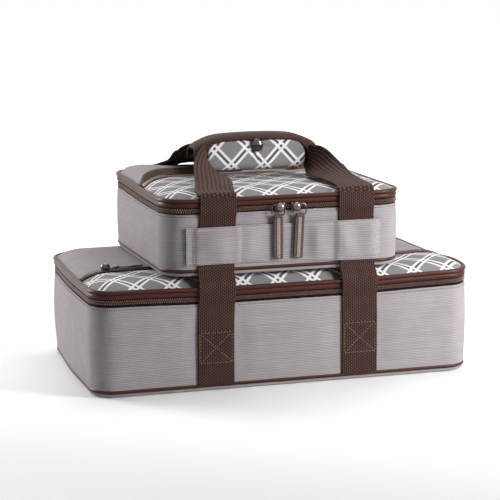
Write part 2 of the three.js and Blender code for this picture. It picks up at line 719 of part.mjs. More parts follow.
function strapRoute(lower, upper) {
  const lowerFace = lower.depth / 2;
  const upperFace = upper.depth / 2;
  const pipingTop = upper.base + BASE_PIPING_RISE + BASE_PIPING_R;
  return [
    [STRAP_FREE_Z + SEAM_GAP, lowerFace + STRAP_FLAT],
    [lower.wallTop - STRAP_EASE, lowerFace + STRAP_FLAT],
    [lower.wallTop, lowerFace + STRAP_PROUD],
    [lower.lidEdge, lowerFace + STRAP_PROUD],
    [upper.base + BASE_EDGE_RISE, upperFace + STRAP_PROUD],
    [pipingTop, upperFace + STRAP_PROUD],
    [pipingTop + STRAP_EASE, upperFace + STRAP_FLAT],
    [upper.wallTop - STRAP_EASE, upperFace + STRAP_FLAT],
    [upper.wallTop, upperFace + STRAP_PROUD],
    [upper.lidEdge, upperFace + STRAP_PROUD],
  ];
}

function handleStrap(lower, upper, facing, side) {
  return webbing(strapRoute(lower, upper).map(([z, y]) => flatStation(side * STRAP_X, facing * y, z)));
}

function sewnStrap(lower, facing, side) {
  const y = facing * (lower.depth / 2 + STRAP_FLAT);
  return webbing([
    flatStation(side * STRAP_X, y, STRAP_FOOT_Z), flatStation(side * STRAP_X, y, STRAP_FREE_Z),
  ]);
}

// Handle: over the lid from one strap, banked round to the grip, and down to the other strap

function handleLoop(upper, facing, gripZ) {
  const face = upper.depth / 2;
  const overEdge = upper.lidEdge + BEND_RISE;
  const overLid = [
    [STRAP_X, face + STRAP_PROUD, upper.lidEdge + SEAM_GAP],
    [STRAP_X, face + STRAP_PROUD / 2, overEdge - BEND_RISE / 3],
    [STRAP_X, face - BEND_RUN, overEdge + SEAM_GAP],
  ];
  const toGrip = HANDLE_SHARES.map(([inwards, depth, rise]) => [
    STRAP_X + (GRIP_HALF_LENGTH - STRAP_X) * inwards,
    GRIP_SLOT_Y + (face - GRIP_SLOT_Y) * depth,
    overEdge + (gripZ - overEdge) * rise,
  ]);
  const points = [...overLid, ...toGrip].map(([x, y, z]) => new THREE.Vector3(x, facing * y, z));
  const twists = [...overLid.map(() => [0, 0]), ...HANDLE_SHARES.map((row) => row.slice(3))];
  const curve = new THREE.CatmullRomCurve3(points, false, 'centripetal');
  const steps = HANDLE_STEPS_PER_SPAN * (points.length - 1);
  const half = Array.from({ length: steps + 1 }, (unused, step) => {
    const [bankShare, narrowing] = between(twists, step / HANDLE_STEPS_PER_SPAN);
    const bank = bankShare * Math.PI / 2;
    const along = curve.getTangent(step / steps);
    const level = new THREE.Vector3(along.y, -along.x, 0).setLength(-facing * Math.cos(bank));
    return {
      at: curve.getPoint(step / steps), across: level.setZ(Math.sin(bank)),
      width: WEBBING_WIDTH + (HELD_WEBBING_WIDTH - WEBBING_WIDTH) * narrowing, thick: WEBBING_THICK,
    };
  });
  return webbing(mirrored([...half, { ...half[steps], at: new THREE.Vector3(0, facing * GRIP_SLOT_Y, gripZ) }]));
}

// Stations from one side to the middle, followed by the same on the other side

function mirrored(half) {
  const mirror = new THREE.Vector3(-1, 1, 1);
  const otherHalf = half.slice(0, -1).reverse().map((station) => ({
    ...station, at: station.at.clone().multiply(mirror), across: station.across.clone().multiply(mirror),
  }));
  return [...half, ...otherHalf];
}

// Webbing sewn along the top of the grip, drooping over both of its ends

function gripBand(top) {
  const level = top + SEAM_GAP + WEBBING_THICK / 2;
  const across = new THREE.Vector3(0, 1, 0);
  return webbing(mirrored([
    [GRIP_HALF_LENGTH + GRIP_BAND_REACH, level - GRIP_BAND_DROOP, GRIP_BAND_END_WIDTH],
    [GRIP_HALF_LENGTH, level - GRIP_BAND_LIFT, GRIP_BAND_WIDTH],
    [GRIP_HALF_LENGTH - GRIP_END_ROUND, level, GRIP_BAND_WIDTH],
    [0, level + GRIP_BAND_LIFT, GRIP_BAND_WIDTH],
  ].map(([x, z, width]) => ({ at: new THREE.Vector3(x, 0, z), across, width, thick: WEBBING_THICK }))));
}

// Row of a table at a place between two of its rows

function between(rows, place) {
  const before = Math.min(Math.floor(place), rows.length - 2);
  return rows[before].map((value, column) => value + (rows[before + 1][column] - value) * (place - before));
}

// Padded grip: a rounded roll slit along its front, so that the flap opens and frees the front handle

function gripRoll(centreZ) {
  const stops = [
    [-GRIP_HALF_LENGTH, GRIP_END_SHARE], [GRIP_END_ROUND - GRIP_HALF_LENGTH, 1],
    [GRIP_HALF_LENGTH - GRIP_END_ROUND, 1], [GRIP_HALF_LENGTH, GRIP_END_SHARE],
  ];
  return solidThrough(stops.map(([x, share]) => Array.from({ length: GRIP_SIDES }, (unused, side) => {
    const angle = (side + 1 / 2) / GRIP_SIDES * 2 * Math.PI;
    const power = 2 / GRIP_SQUARENESS;
    const y = Math.sign(Math.cos(angle)) * Math.abs(Math.cos(angle)) ** power;
    const z = Math.sign(Math.sin(angle)) * Math.abs(Math.sin(angle)) ** power;
    return new THREE.Vector3(x, share * GRIP_HALF_DEPTH * y, centreZ + share * GRIP_HALF_HEIGHT * z);
  })));
}

function addGrip(upper) {
  const bottom = upper.lidTop + GRIP_GAP;
  const centreZ = bottom + GRIP_HALF_HEIGHT;
  const top = centreZ + GRIP_HALF_HEIGHT;
  const split = GRIP_HALF_DEPTH - GRIP_FLAP_DEPTH;
  const length = 2 * GRIP_HALF_LENGTH + CUT_OVERRUN;
  const frontSlab = new THREE.BoxGeometry(length, GRIP_HALF_DEPTH, 2 * GRIP_HALF_HEIGHT + CUT_OVERRUN);
  frontSlab.translate(0, -split - GRIP_HALF_DEPTH / 2, centreZ);
  const flapSlab = frontSlab.clone().translate(0, -SEAM_GAP, 0);
  const slotInside = GRIP_SLOT_Y - WEBBING_THICK / 2 - SEAM_GAP;
  const slotHeight = HELD_WEBBING_WIDTH + 2 * SEAM_GAP;
  const frontSlot = new THREE.BoxGeometry(length, 2 * (split - slotInside), slotHeight);
  frontSlot.translate(0, -split, centreZ);
  const rearSlot = new THREE.BoxGeometry(length, WEBBING_THICK + 2 * SEAM_GAP, slotHeight);
  rearSlot.translate(0, GRIP_SLOT_Y, centreZ);

  const snapZ = top - SNAP_DROP;
  const flapFace = split + SEAM_GAP;
  const socketSeat = new THREE.CylinderGeometry(
    SNAP_SOCKET_R + SEAM_GAP, SNAP_SOCKET_R + SEAM_GAP, 2 * SNAP_SOCKET_THICK + 2 * SEAM_GAP, 3 * CORD_SIDES,
  );
  socketSeat.translate(0, -flapFace, snapZ);
  const postHole = new THREE.CylinderGeometry(
    SNAP_POST_R + SEAM_GAP, SNAP_POST_R + SEAM_GAP, 2 * GRIP_HALF_DEPTH, 2 * CORD_SIDES,
  );
  postHole.translate(0, -GRIP_HALF_DEPTH, snapZ);
  const roll = gripRoll(centreZ);
  addPiece('grip_wrap', cutAway(roll, frontSlab, frontSlot, rearSlot, socketSeat), PLAID_CLOTH);
  addPiece('grip_flap', cutAway(keepInside(roll, flapSlab), postHole, socketSeat), PLAID_CLOTH);
  const snap = addPiece('grip_snap', snapFastener(flapFace), DARK_METAL);
  snap.position.set(0, -GRIP_HALF_DEPTH - SEAM_GAP, snapZ);
  addPiece('grip_band', gripBand(top), BROWN_WEBBING);
  return centreZ;
}

// Snap: domed cap outside the flap, post through it and socket inside, turned on one axis along Y

function snapFastener(flapFace) {
  const socketBack = GRIP_HALF_DEPTH + SEAM_GAP - flapFace;
  const socketFront = socketBack - SNAP_SOCKET_THICK;
  const profile = [
    [0, socketBack], [SNAP_SOCKET_R, socketBack], [SNAP_SOCKET_R, socketFront], [SNAP_POST_R, socketFront],
    [SNAP_POST_R, 0], [SNAP_R, 0], [SNAP_R, -SNAP_RIM],
    [SNAP_R * SNAP_SHOULDER_SHARE, -SNAP_RIM - SNAP_DOME * SNAP_SHOULDER_SHARE], [0, -SNAP_RIM - SNAP_DOME],
  ].map(([radius, y]) => new THREE.Vector2(radius, -y));
  const lathe = new THREE.LatheGeometry(profile, 3 * CORD_SIDES);
  lathe.rotateX(Math.PI);
  return lathe;
}

// Band on the upper carrier: flat on its wall, and raised where a strap runs behind it

function sleeveBand(upper, facing) {
  const face = upper.depth / 2;
  const flat = SEAM_GAP;
  const raised = SEAM_GAP + WEBBING_THICK + SEAM_GAP;
  const strapHalf = WEBBING_WIDTH / 2 + SLEEVE_EASE;
  const stops = [[-SLEEVE_HALF_LENGTH, flat]];
  [-1, 1].forEach((side) => {
    const x = side * STRAP_X;
    stops.push([x - strapHalf - SLEEVE_RAMP, flat], [x - strapHalf, raised]);
    stops.push([x + strapHalf, raised], [x + strapHalf + SLEEVE_RAMP, flat]);
  });
  stops.push([SLEEVE_HALF_LENGTH, flat]);
  const shape = new THREE.Shape();
  shape.moveTo(stops[0][0], facing * (face + stops[0][1]));
  stops.slice(1).forEach(([x, out]) => shape.lineTo(x, facing * (face + out)));
  stops.reverse().forEach(([x, out]) => shape.lineTo(x, facing * (face + out + BAND_CLOTH)));
  const band = new THREE.ExtrudeGeometry(shape, { depth: SLEEVE_HEIGHT, bevelEnabled: false });
  band.translate(0, 0, upper.base + SLEEVE_BOTTOM_RISE);
  return band;
}

// Assembly

const lower = makeCarrier(
  'lower', LOWER_WIDTH, LOWER_DEPTH, LOWER_CORNER, LOWER_CROWN,
  0, LOWER_WALL_TOP, LOWER_POCKET_Y, LOWER_POCKET_BEND,
);
const upperBase = lower.lidTop + 2 * POCKET_PIPING_R - TAPE_CLOTH - POCKET_TAPE_SUNK + SEAM_GAP;
const upper = makeCarrier(
  'upper', UPPER_WIDTH, UPPER_DEPTH, UPPER_CORNER, UPPER_CROWN,
  upperBase, upperBase + UPPER_WALL_HEIGHT, UPPER_POCKET_Y, UPPER_POCKET_BEND,
);

[lower, upper].forEach((carrier) => {
  addTray(carrier);
  addLid(carrier);
});
addSlider(lower, 'front', LOWER_WIDTH / 2, LOWER_FRONT_SLIDER_Y, Math.PI / 2, -1);
addSlider(lower, 'rear', LOWER_WIDTH / 2, LOWER_REAR_SLIDER_Y, Math.PI / 2, 1);
addSlider(upper, 'left', UPPER_LEFT_SLIDER_X, -UPPER_DEPTH / 2, 0, -1);
addSlider(upper, 'right', UPPER_RIGHT_SLIDER_X, -UPPER_DEPTH / 2, 0, 1);
addPocketSlider(lower, LOWER_POCKET_SLIDER_X);
addPocketSlider(upper, UPPER_POCKET_SLIDER_X);

const gripZ = addGrip(upper);
[['front', -1], ['rear', 1]].forEach(([face, facing]) => {
  [['left', -1], ['right', 1]].forEach(([end, side]) => {
    addPiece(`${face}_${end}_sewn_strap`, sewnStrap(lower, facing, side), BROWN_WEBBING);
    addPiece(`${face}_${end}_handle_strap`, handleStrap(lower, upper, facing, side), BROWN_WEBBING);
  });
  addPiece(`${face}_handle_loop`, handleLoop(upper, facing, gripZ), BROWN_WEBBING);
  addPiece(`${face}_sleeve_band`, sleeveBand(upper, facing), GREY_CLOTH);
});
object.updateMatrixWorld(true);

export default object;
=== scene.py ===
"""Dresses the double-decker casserole carrier: cloth, webbing, piping, zips and a soft studio stage."""

import math

import bpy
from mathutils import Matrix, Vector, noise


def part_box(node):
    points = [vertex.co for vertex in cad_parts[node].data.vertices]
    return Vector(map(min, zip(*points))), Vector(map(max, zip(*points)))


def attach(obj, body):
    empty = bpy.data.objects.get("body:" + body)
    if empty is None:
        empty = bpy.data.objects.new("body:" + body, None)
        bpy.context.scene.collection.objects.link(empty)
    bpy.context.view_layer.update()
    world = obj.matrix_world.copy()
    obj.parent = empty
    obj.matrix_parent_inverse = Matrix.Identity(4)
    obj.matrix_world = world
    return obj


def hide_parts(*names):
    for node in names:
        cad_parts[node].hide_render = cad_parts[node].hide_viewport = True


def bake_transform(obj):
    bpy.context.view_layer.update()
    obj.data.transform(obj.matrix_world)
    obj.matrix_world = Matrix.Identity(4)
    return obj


bl_info = {
    "name": "Casserole Carrier",
    "version": (1, 0, 0),
    "blender": (4, 5, 0),
    "location": "3D View > Sidebar > Carrier",
    "description": "Two zip-lid insulated carriers held together by webbing handles",
    "category": "Object",
}

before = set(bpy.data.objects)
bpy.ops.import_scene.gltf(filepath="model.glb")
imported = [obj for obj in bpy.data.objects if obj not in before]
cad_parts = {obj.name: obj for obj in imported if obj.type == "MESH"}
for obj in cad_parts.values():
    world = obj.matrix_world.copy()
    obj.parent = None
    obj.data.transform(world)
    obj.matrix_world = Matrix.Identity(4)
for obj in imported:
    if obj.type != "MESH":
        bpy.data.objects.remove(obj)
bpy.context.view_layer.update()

MM = 0.001
SMOOTH_ANGLE = math.radians(42)
RIGHT = Vector((1, 0, 0))
STRAP_SIDES = ((-1, "left"), (1, "right"))
FACES = ((-1, "front"), (1, "rear"))

# Steps along the nine parts of a carrier's outline: half the rear, then corner, side, corner, front,
# corner, side and corner, and the other half of the rear
CORNER_STEPS, SIDE_STEPS, FRONT_STEPS = 9, 36, 64
PART_STEPS = (
    FRONT_STEPS // 2, CORNER_STEPS, SIDE_STEPS, CORNER_STEPS, FRONT_STEPS,
    CORNER_STEPS, SIDE_STEPS, CORNER_STEPS, FRONT_STEPS // 2,
)
WEBBING_STEPS = 12

# Gaps: webbing off its cloth, webbing off piping, stitches off their cloth
CLOTH_GAP = 0.3 * MM
PIPING_STAND = 1.2 * MM
SEAM_LIFT = 0.1 * MM

# Lids: thickness and inset of a pad, its rows, where the crown starts, how far it runs and how it falls,
# the drop of its edge below the piping, and half the width that the upper carrier covers
PAD_CLOTH = 1.2 * MM
PAD_INSET = 3.1 * MM
PAD_ROWS = 34
CROWN_START = 3 * MM
CROWN_RUN = 31 * MM
CROWN_POWER = 2.2
EDGE_DROP = 1.2 * MM
COVERED_HALF = 142 * MM

# Trays: how far the side cloth stands above its solid, and the rear corners against the front ones
WALL_RISE = {"lower": 1.0 * MM, "upper": 2.2 * MM}
REAR_CORNER_SHARE = 1.6

# Way of a handle from the lid to the grip: shares of the reach inwards, of the depth and of the rise,
# then of the bank, from lying flat to standing on edge, and of the narrowing
HANDLE_SHARES = {
    -1: ((0.36, 0.66, 0.27, 0.12, 0), (0.62, 0.4, 0.53, 0.34, 0.05), (0.8, 0.19, 0.75, 0.64, 0.2),
         (0.9, 0.06, 0.92, 0.9, 0.5), (0.96, 0.004, 1, 1, 1)),
    1: ((0.42, 0.66, 0.33, 0.05, 0), (0.66, 0.42, 0.54, 0.16, 0), (0.8, 0.2, 0.78, 0.45, 0.1),
        (0.9, 0.06, 0.93, 0.88, 0.4), (0.96, 0.004, 1, 1, 1)),
}


# Settings

def linear(code):
    """A colour written as six hex digits, as Blender's linear values."""
    parts = [int(code[start:start + 2], 16) / 255 for start in (0, 2, 4)]
    return [p / 12.92 if p <= 0.04045 else ((p + 0.055) / 1.055) ** 2.4 for p in parts]


def length_setting(name, description, size):
    """A length, given here in millimetres."""
    return bpy.props.FloatProperty(
        name=name, description=description, default=size * MM, unit="LENGTH", precision=5)


def share_setting(name, description, share):
    return bpy.props.FloatProperty(name=name, description=description, default=share, subtype="FACTOR")


def turn_setting(name, description, degrees):
    return bpy.props.FloatProperty(
        name=name, description=description, default=math.radians(degrees), subtype="ANGLE")


def power_setting(name, description, watts):
    return bpy.props.FloatProperty(name=name, description=description, default=watts, unit="POWER")


def colour_setting(name, description, code):
    return bpy.props.FloatVectorProperty(
        name=name, description=description, default=linear(code), subtype="COLOR", size=3, min=0, max=1)


class CarrierShape(bpy.types.PropertyGroup):
    """Cut of the two carriers, beyond what their solids give"""

    lower_corner: length_setting("Lower corner", "Corner radius of the lower carrier", 26)
    upper_corner: length_setting("Upper corner", "Corner radius of the upper carrier", 28)
    lower_belly: length_setting("Lower belly", "How far the lower side cloth swells", 1.8)
    upper_belly: length_setting("Upper belly", "How far the upper side cloth swells", 1.4)
    cloth_dents: length_setting("Cloth dents", "Depth of the soft dents in the side cloth", 0.9)
    lower_pocket_bend: length_setting("Lower pocket bend", "How far the lower pocket zip bends forward", 5)
    upper_pocket_bend: length_setting("Upper pocket bend", "How far the upper pocket zip bends forward", 34)
    pocket_bend_run: length_setting("Pocket bend run", "Length of the bent end of a pocket zip", 62)
    lower_raise: length_setting("Lower rear pad", "Rise of the lower lid's rear pad at the pocket", 1.2)
    upper_raise: length_setting("Upper rear pad", "Rise of the upper lid's rear pad at the pocket", 7)
    lower_band: length_setting("Lower pocket band", "Woven band behind the lower pocket zip", 5.5)
    upper_band: length_setting("Upper pocket band", "Woven band behind the upper pocket zip", 13)
    rear_draw: length_setting("Rear draw", "How far the lower carrier's rear left corner is drawn in", 5.5)
    rear_lift: length_setting("Rear lift", "How far the upper carrier's rear left corner stands up", 4)
    front_sag: length_setting("Front sag", "How far the lower lid's front edge sags in its middle", 2.6)
    side_bow: length_setting("Side bow", "Rise of the lower lid's right edge", 3.5)
    panel_puff: length_setting("Panel puff", "Soft unevenness of the padded lids", 0.9)
    left_foot: length_setting("Left strap foot", "How far out the left straps start", 1.8)
    left_lean: length_setting("Left strap lean", "How far in the left straps end", 3.6)
    right_foot: length_setting("Right strap foot", "How far out the right straps start", 1)
    right_lean: length_setting("Right strap lean", "How far in the right straps end", 1.2)
    handle_drop: length_setting("Handle drop", "How far the handles hang below the grip's middle", 4)
    band_drape: share_setting("Band drape", "How far the grip's band hangs down its front", 0.32)
    sleeve_waves: length_setting("Sleeve waves", "Depth of the soft waves in the grey bands", 5.5)
    grip_round: length_setting("Grip corner", "Rounding of the grip's upper corners", 12)


class SewingSizes(bpy.types.PropertyGroup):
    """Sizes of the webbing, piping, zip teeth and stitches"""

    webbing_thick: length_setting("Webbing thickness", "Thickness of the handle webbing", 1.6)
    tooth_pitch: length_setting("Tooth pitch", "Distance from one zip tooth to the next", 2.4)
    tooth_width: length_setting("Tooth width", "Width of a zip tooth along the zip", 1.25)
    tooth_height: length_setting("Tooth height", "Height of a zip tooth across the zip", 2.1)
    stitch_pitch: length_setting("Stitch pitch", "Distance from one stitch to the next", 3.4)
    stitch_length: length_setting("Stitch length", "Length of one stitch", 2.2)
    stitch_width: length_setting("Stitch width", "Thickness of the sewing thread", 0.7)
    box_stitch_height: length_setting("Box stitch", "Height of the crossed box sewn on a strap", 32)
    box_stitch_top: length_setting("Box stitch top", "Height of the top of the crossed box", 62.5)


class ClothFinishes(bpy.types.PropertyGroup):
    """Colours and weave sizes of the cloths and metals"""

    # Each deep colour is the dark end of its cloth's mix: painted shade in the hollows between the ribs, set
    # by the rib height, together with the cloth's own streaks of tone
    grey: colour_setting("Grey cloth", "Tops of the side cloth's ribs", "b8b3b6")
    grey_deep: colour_setting("Grey cloth, deep", "Side cloth between its ribs", "7d7577")
    plaid_ground: colour_setting("Plaid ground", "Ground of the plaid", "8f8c8e")
    plaid_line: colour_setting("Plaid line", "Light lines of the plaid", "efedee")
    plaid_gap: colour_setting("Plaid gap", "Dark line between two light ones", "5d585b")
    webbing: colour_setting("Webbing", "Tops of the webbing's ribs", "674840")
    webbing_deep: colour_setting("Webbing, deep", "Between the webbing's ribs", "080403")
    trim: colour_setting("Trim", "Piping and gusset cloth", "53291f")
    trim_deep: colour_setting("Trim, deep", "Shaded threads of the trim", "2c120d")
    zip_tape: colour_setting("Zip tape", "Tape that the teeth are sewn to", "1c100d")
    zip_tape_deep: colour_setting("Zip tape, deep", "Between the tape's ribs", "0e0706")
    teeth: colour_setting("Teeth", "Zip teeth", "86675c")
    band: colour_setting("Pocket band", "Woven band along a pocket zip", "786358")
    band_deep: colour_setting("Pocket band, deep", "Between the band's ribs", "3b2e29")
    # Lighter than the trim of the same piping, as a painted highlight along the upper pocket zip
    bead: colour_setting("Pocket bead", "Tan bead along a pocket zip", "b79b8c")
    tab_deep: colour_setting("Tab, deep", "Between the ribs of a zip tab", "1b0f0c")
    stripe: colour_setting("Tab stripe", "Light stripe down a zip tab", "aba29d")
    stripe_deep: colour_setting("Tab stripe, deep", "Between the stripe's ribs", "5b524d")
    foil: colour_setting("Foil", "Quilted lining", "c6c9cc")
    board: colour_setting("Board", "Stiffening board in the base", "2e2c2c")
    dark_metal: colour_setting("Dark metal", "Zip sliders", "857c78")
    wire: colour_setting("Wire", "Wire rings", "665e5a")
    enamel: colour_setting("Enamel", "Pocket coils, runners and pulls", "1d1614")
    snap: colour_setting("Snap", "Domed snap of the grip", "2c1b17")
    thread_light: colour_setting("Light thread", "Stitches on the grey band", "d9d5d4")
    thread_dark: colour_setting("Dark thread", "Stitches along the zips", "4a3a36")
    thread_tan: colour_setting("Tan thread", "Crossed boxes on the straps", "93756a")
    rib_pitch: length_setting("Rib pitch", "Distance between ribs of the grey cloth", 1.8)
    plaid_pitch: length_setting("Plaid pitch", "Distance between crossings of the plaid", 38.5)
    webbing_rib: length_setting("Webbing rib", "Width of one rib of the webbing", 2.2)


class StageSettings(bpy.types.PropertyGroup):
    """Camera, lamps and floor"""

    camera_turn: turn_setting("Camera turn", "Camera direction round the carrier", -17.528)
    camera_rise: turn_setting("Camera rise", "Camera direction above the floor", 9.891)
    camera_roll: turn_setting("Camera roll", "Tilt of the picture", -0.232)
    camera_away: length_setting("Camera distance", "Distance from camera to aim", 2023.23)
    aim_x: length_setting("Aim across", "Sideways place that the camera looks at", -2.88)
    aim_z: length_setting("Aim height", "Height that the camera looks at", 124.46)
    lens: bpy.props.FloatProperty(
        name="Lens", description="Focal length in mm", default=130.925, subtype="UNSIGNED")
    floor: colour_setting("Floor", "Floor under the carrier", "f4f4f4")
    floor_glow: share_setting("Floor white", "Share of plain white that the camera sees on the floor", 0.14)
    sky: share_setting("Sky light", "Strength of the even light from all sides", 0.06)
    key_power: power_setting("Right lamp", "Power of the soft lamp at the right front", 3.7)
    side_power: power_setting("Left lamp", "Power of the soft lamp at the left rear", 20)
    top_power: power_setting("Top lamp", "Power of the soft lamp overhead", 9)


SETTING_GROUPS = (
    ("carrier_shape", CarrierShape), ("carrier_sewing", SewingSizes),
    ("carrier_finishes", ClothFinishes), ("carrier_stage", StageSettings),
)


def shape():
    return bpy.context.scene.carrier_shape


def sewing():
    return bpy.context.scene.carrier_sewing


def finishes():
    return bpy.context.scene.carrier_finishes


def finish(name):
    return getattr(finishes(), name)


def stage_settings():
    return bpy.context.scene.carrier_stage


# Node building

def node(tree, kind, inputs=None, **settings):
    """Adds a node, sets it and links or fills its inputs."""
    made = tree.nodes.new(kind)
    for name, value in settings.items():
        setattr(made, name, value)
    for key, value in (inputs or {}).items():
        if isinstance(value, bpy.types.NodeSocket):
            tree.links.new(value, made.inputs[key])
        else:
            made.inputs[key].default_value = value
    return made


def maths(tree, operation, first, second=0.0, third=0.0):
    return node(tree, "ShaderNodeMath", {0: first, 1: second, 2: third}, operation=operation).outputs[0]


def wave(tree, phase):
    """A smooth wave from 0 to 1, one for each whole number of phase."""
    swing = maths(tree, "SINE", maths(tree, "MULTIPLY", phase, 2 * math.pi))
    return maths(tree, "MULTIPLY_ADD", swing, 0.5, 0.5)


def mixed(tree, share, first, second):
    """A colour between two, each a socket or a plain colour."""
    first, second = (
        end if isinstance(end, bpy.types.NodeSocket) else (*end, 1) for end in (first, second))
    return node(tree, "ShaderNodeMix", {0: share, 6: first, 7: second}, data_type="RGBA").outputs[2]


def new_group(name, inputs, outputs):
    """A shader node group with its sockets, and the ends that its nodes link to."""
    tree = bpy.data.node_groups.new(name, "ShaderNodeTree")
    for label, kind, value in inputs:
        socket = tree.interface.new_socket(name=label, in_out="INPUT", socket_type=kind)
        if value is not None:
            socket.default_value = value
    for label in outputs:
        tree.interface.new_socket(name=label, in_out="OUTPUT", socket_type="NodeSocketFloat")
    ends = tree.nodes.new("NodeGroupInput").outputs, tree.nodes.new("NodeGroupOutput").inputs
    return tree, *ends


def group_in(tree, name, inputs):
    return node(tree, "ShaderNodeGroup", inputs, node_tree=bpy.data.node_groups[name]).outputs


def noise_at(tree, place, scale, detail=2.0):
    return node(tree, "ShaderNodeTexNoise", {"Vector": place, "Scale": scale, "Detail": detail}).outputs[0]


def stretched_noise(tree, vector, stretch, detail=2.0):
    """Noise on coordinates that are scaled by stretch first."""
    scaled = node(tree, "ShaderNodeVectorMath", {0: vector, 1: stretch}, operation="MULTIPLY")
    return noise_at(tree, scaled.outputs[0], 1.0, detail)


def make_ribbed_group():
    """Cloth with ribs across: coordinates in millimetres, u along the cloth and v up it."""
    tree, given, out = new_group("Ribbed cloth", [
        ("Vector", "NodeSocketVector", None), ("Rib Pitch", "NodeSocketFloat", 1.8),
        ("Thread Pitch", "NodeSocketFloat", 1.1), ("Wander", "NodeSocketFloat", 0.5),
    ], ["Height", "Shade"])
    place = node(tree, "ShaderNodeSeparateXYZ", {0: given["Vector"]}).outputs
    wander = maths(tree, "SUBTRACT", stretched_noise(tree, given["Vector"], (0.03, 0.3, 0)), 0.5)
    lifted = maths(tree, "MULTIPLY_ADD", wander, given["Wander"], place[1])
    rib = maths(tree, "DIVIDE", lifted, given["Rib Pitch"])
    thread = maths(tree, "DIVIDE", place[0], given["Thread Pitch"])
    stagger = maths(tree, "MULTIPLY_ADD", maths(tree, "FLOOR", rib), 0.5, thread)
    knots = maths(tree, "MULTIPLY_ADD", wave(tree, stagger), 0.35, 0.65)
    height = maths(tree, "MULTIPLY", wave(tree, rib), knots)
    streak = stretched_noise(tree, given["Vector"], (0.012, 0.9, 0), 3.0)
    patch = stretched_noise(tree, given["Vector"], (0.05, 0.05, 0))
    uneven = maths(tree, "MULTIPLY_ADD", streak, 0.55, maths(tree, "MULTIPLY", patch, 0.25))
    # Shade: painted shade in the hollows between the ribs, from their height, plus the cloth's streaks and
    # patches of tone
    shade = maths(tree, "MULTIPLY_ADD", height, 0.45, maths(tree, "SUBTRACT", uneven, 0.05))
    tree.links.new(height, out["Height"])
    tree.links.new(shade, out["Shade"])


def make_webbing_group():
    """Webbing: ribs along its length, crossed by staggered stitches of the weave."""
    tree, given, out = new_group("Webbing weave", [
        ("Vector", "NodeSocketVector", None), ("Rib", "NodeSocketFloat", 1.35),
        ("Pick", "NodeSocketFloat", 2.1),
    ], ["Height", "Shade"])
    place = node(tree, "ShaderNodeSeparateXYZ", {0: given["Vector"]}).outputs
    rib = maths(tree, "DIVIDE", place[0], given["Rib"])
    ridge = maths(tree, "ABSOLUTE", maths(tree, "SINE", maths(tree, "MULTIPLY", rib, math.pi)))
    pick = maths(tree, "DIVIDE", place[1], given["Pick"])
    stagger = maths(tree, "MULTIPLY_ADD", maths(tree, "FLOOR", rib), 0.5, pick)
    height = maths(tree, "MULTIPLY", ridge, maths(tree, "MULTIPLY_ADD", wave(tree, stagger), 0.75, 0.25))
    worn = maths(tree, "MULTIPLY_ADD", stretched_noise(tree, given["Vector"], (0.08, 0.03, 0), 3.0), 0.7, 0.6)
    # Shade darkens the hollows between ribs and picks as painted shade, made uneven along the webbing by its
    # wear
    tree.links.new(height, out["Height"])
    tree.links.new(maths(tree, "MULTIPLY", height, worn), out["Shade"])


def make_plaid_group():
    """Plaid of paired light lines on the bias, with a dark line between each pair."""
    tree, given, out = new_group("Bias plaid", [
        ("Vector", "NodeSocketVector", None), ("Pitch", "NodeSocketFloat", 37.0),
        ("Line", "NodeSocketFloat", 2.8), ("Gap", "NodeSocketFloat", 2.8),
    ], ["Light", "Dark"])
    place = node(tree, "ShaderNodeSeparateXYZ", {0: given["Vector"]}).outputs
    half_gap = maths(tree, "MULTIPLY", given["Gap"], 0.5)
    line_end = maths(tree, "ADD", half_gap, given["Line"])
    light, dark = [], []
    for operation in ("ADD", "SUBTRACT"):
        across = maths(tree, "DIVIDE", maths(tree, operation, place[0], place[1]), given["Pitch"])
        off = maths(tree, "SUBTRACT", maths(tree, "FRACT", maths(tree, "ADD", across, 0.5)), 0.5)
        reach = maths(tree, "MULTIPLY", maths(tree, "ABSOLUTE", off), given["Pitch"])
        away = maths(tree, "MULTIPLY", reach, math.sqrt(0.5))
        inside = maths(tree, "LESS_THAN", away, line_end)
        dark.append(maths(tree, "LESS_THAN", away, half_gap))
        light.append(maths(tree, "SUBTRACT", inside, dark[-1]))
    tree.links.new(maths(tree, "MAXIMUM", *light), out["Light"])
    tree.links.new(maths(tree, "MAXIMUM", *dark), out["Dark"])


def make_groups():
    make_ribbed_group()
    make_webbing_group()
    make_plaid_group()


# Materials

def new_material(name, roughness, metallic=0.0, **sockets):
    """A material with a Principled shader, whose plain values are set on its own sockets."""
    material = bpy.data.materials.new(name)
    material.use_nodes = True
    tree = material.node_tree
    shader = tree.nodes["Principled BSDF"]
    shader.inputs["Roughness"].default_value = roughness
    shader.inputs["Metallic"].default_value = metallic
    for key, value in sockets.items():
        shader.inputs[key.replace("_", " ").title().replace("Ior", "IOR")].default_value = value
    return material, tree, shader


def coloured(tree, shader, share, first, second):
    tree.links.new(mixed(tree, share, first, second), shader.inputs["Base Color"])


def darker(colour, share):
    return [part * share for part in colour]


def bumped(tree, shader, height, depth):
    """Raises the surface by a height of which 1 stands for depth, in millimetres."""
    bump = node(tree, "ShaderNodeBump", {"Height": height, "Strength": 1.0, "Distance": depth * MM})
    tree.links.new(bump.outputs[0], shader.inputs["Normal"])


def on_cloth(tree):
    """Place on the cloth in millimetres, from the piece's own map."""
    return node(tree, "ShaderNodeTexCoord").outputs["UV"]


def in_space(tree, scale=1 / MM):
    """Place in the object's own space, in millimetres."""
    place = node(tree, "ShaderNodeTexCoord").outputs["Object"]
    return node(tree, "ShaderNodeMapping", {"Vector": place, "Scale": (scale, scale, scale)}).outputs[0]


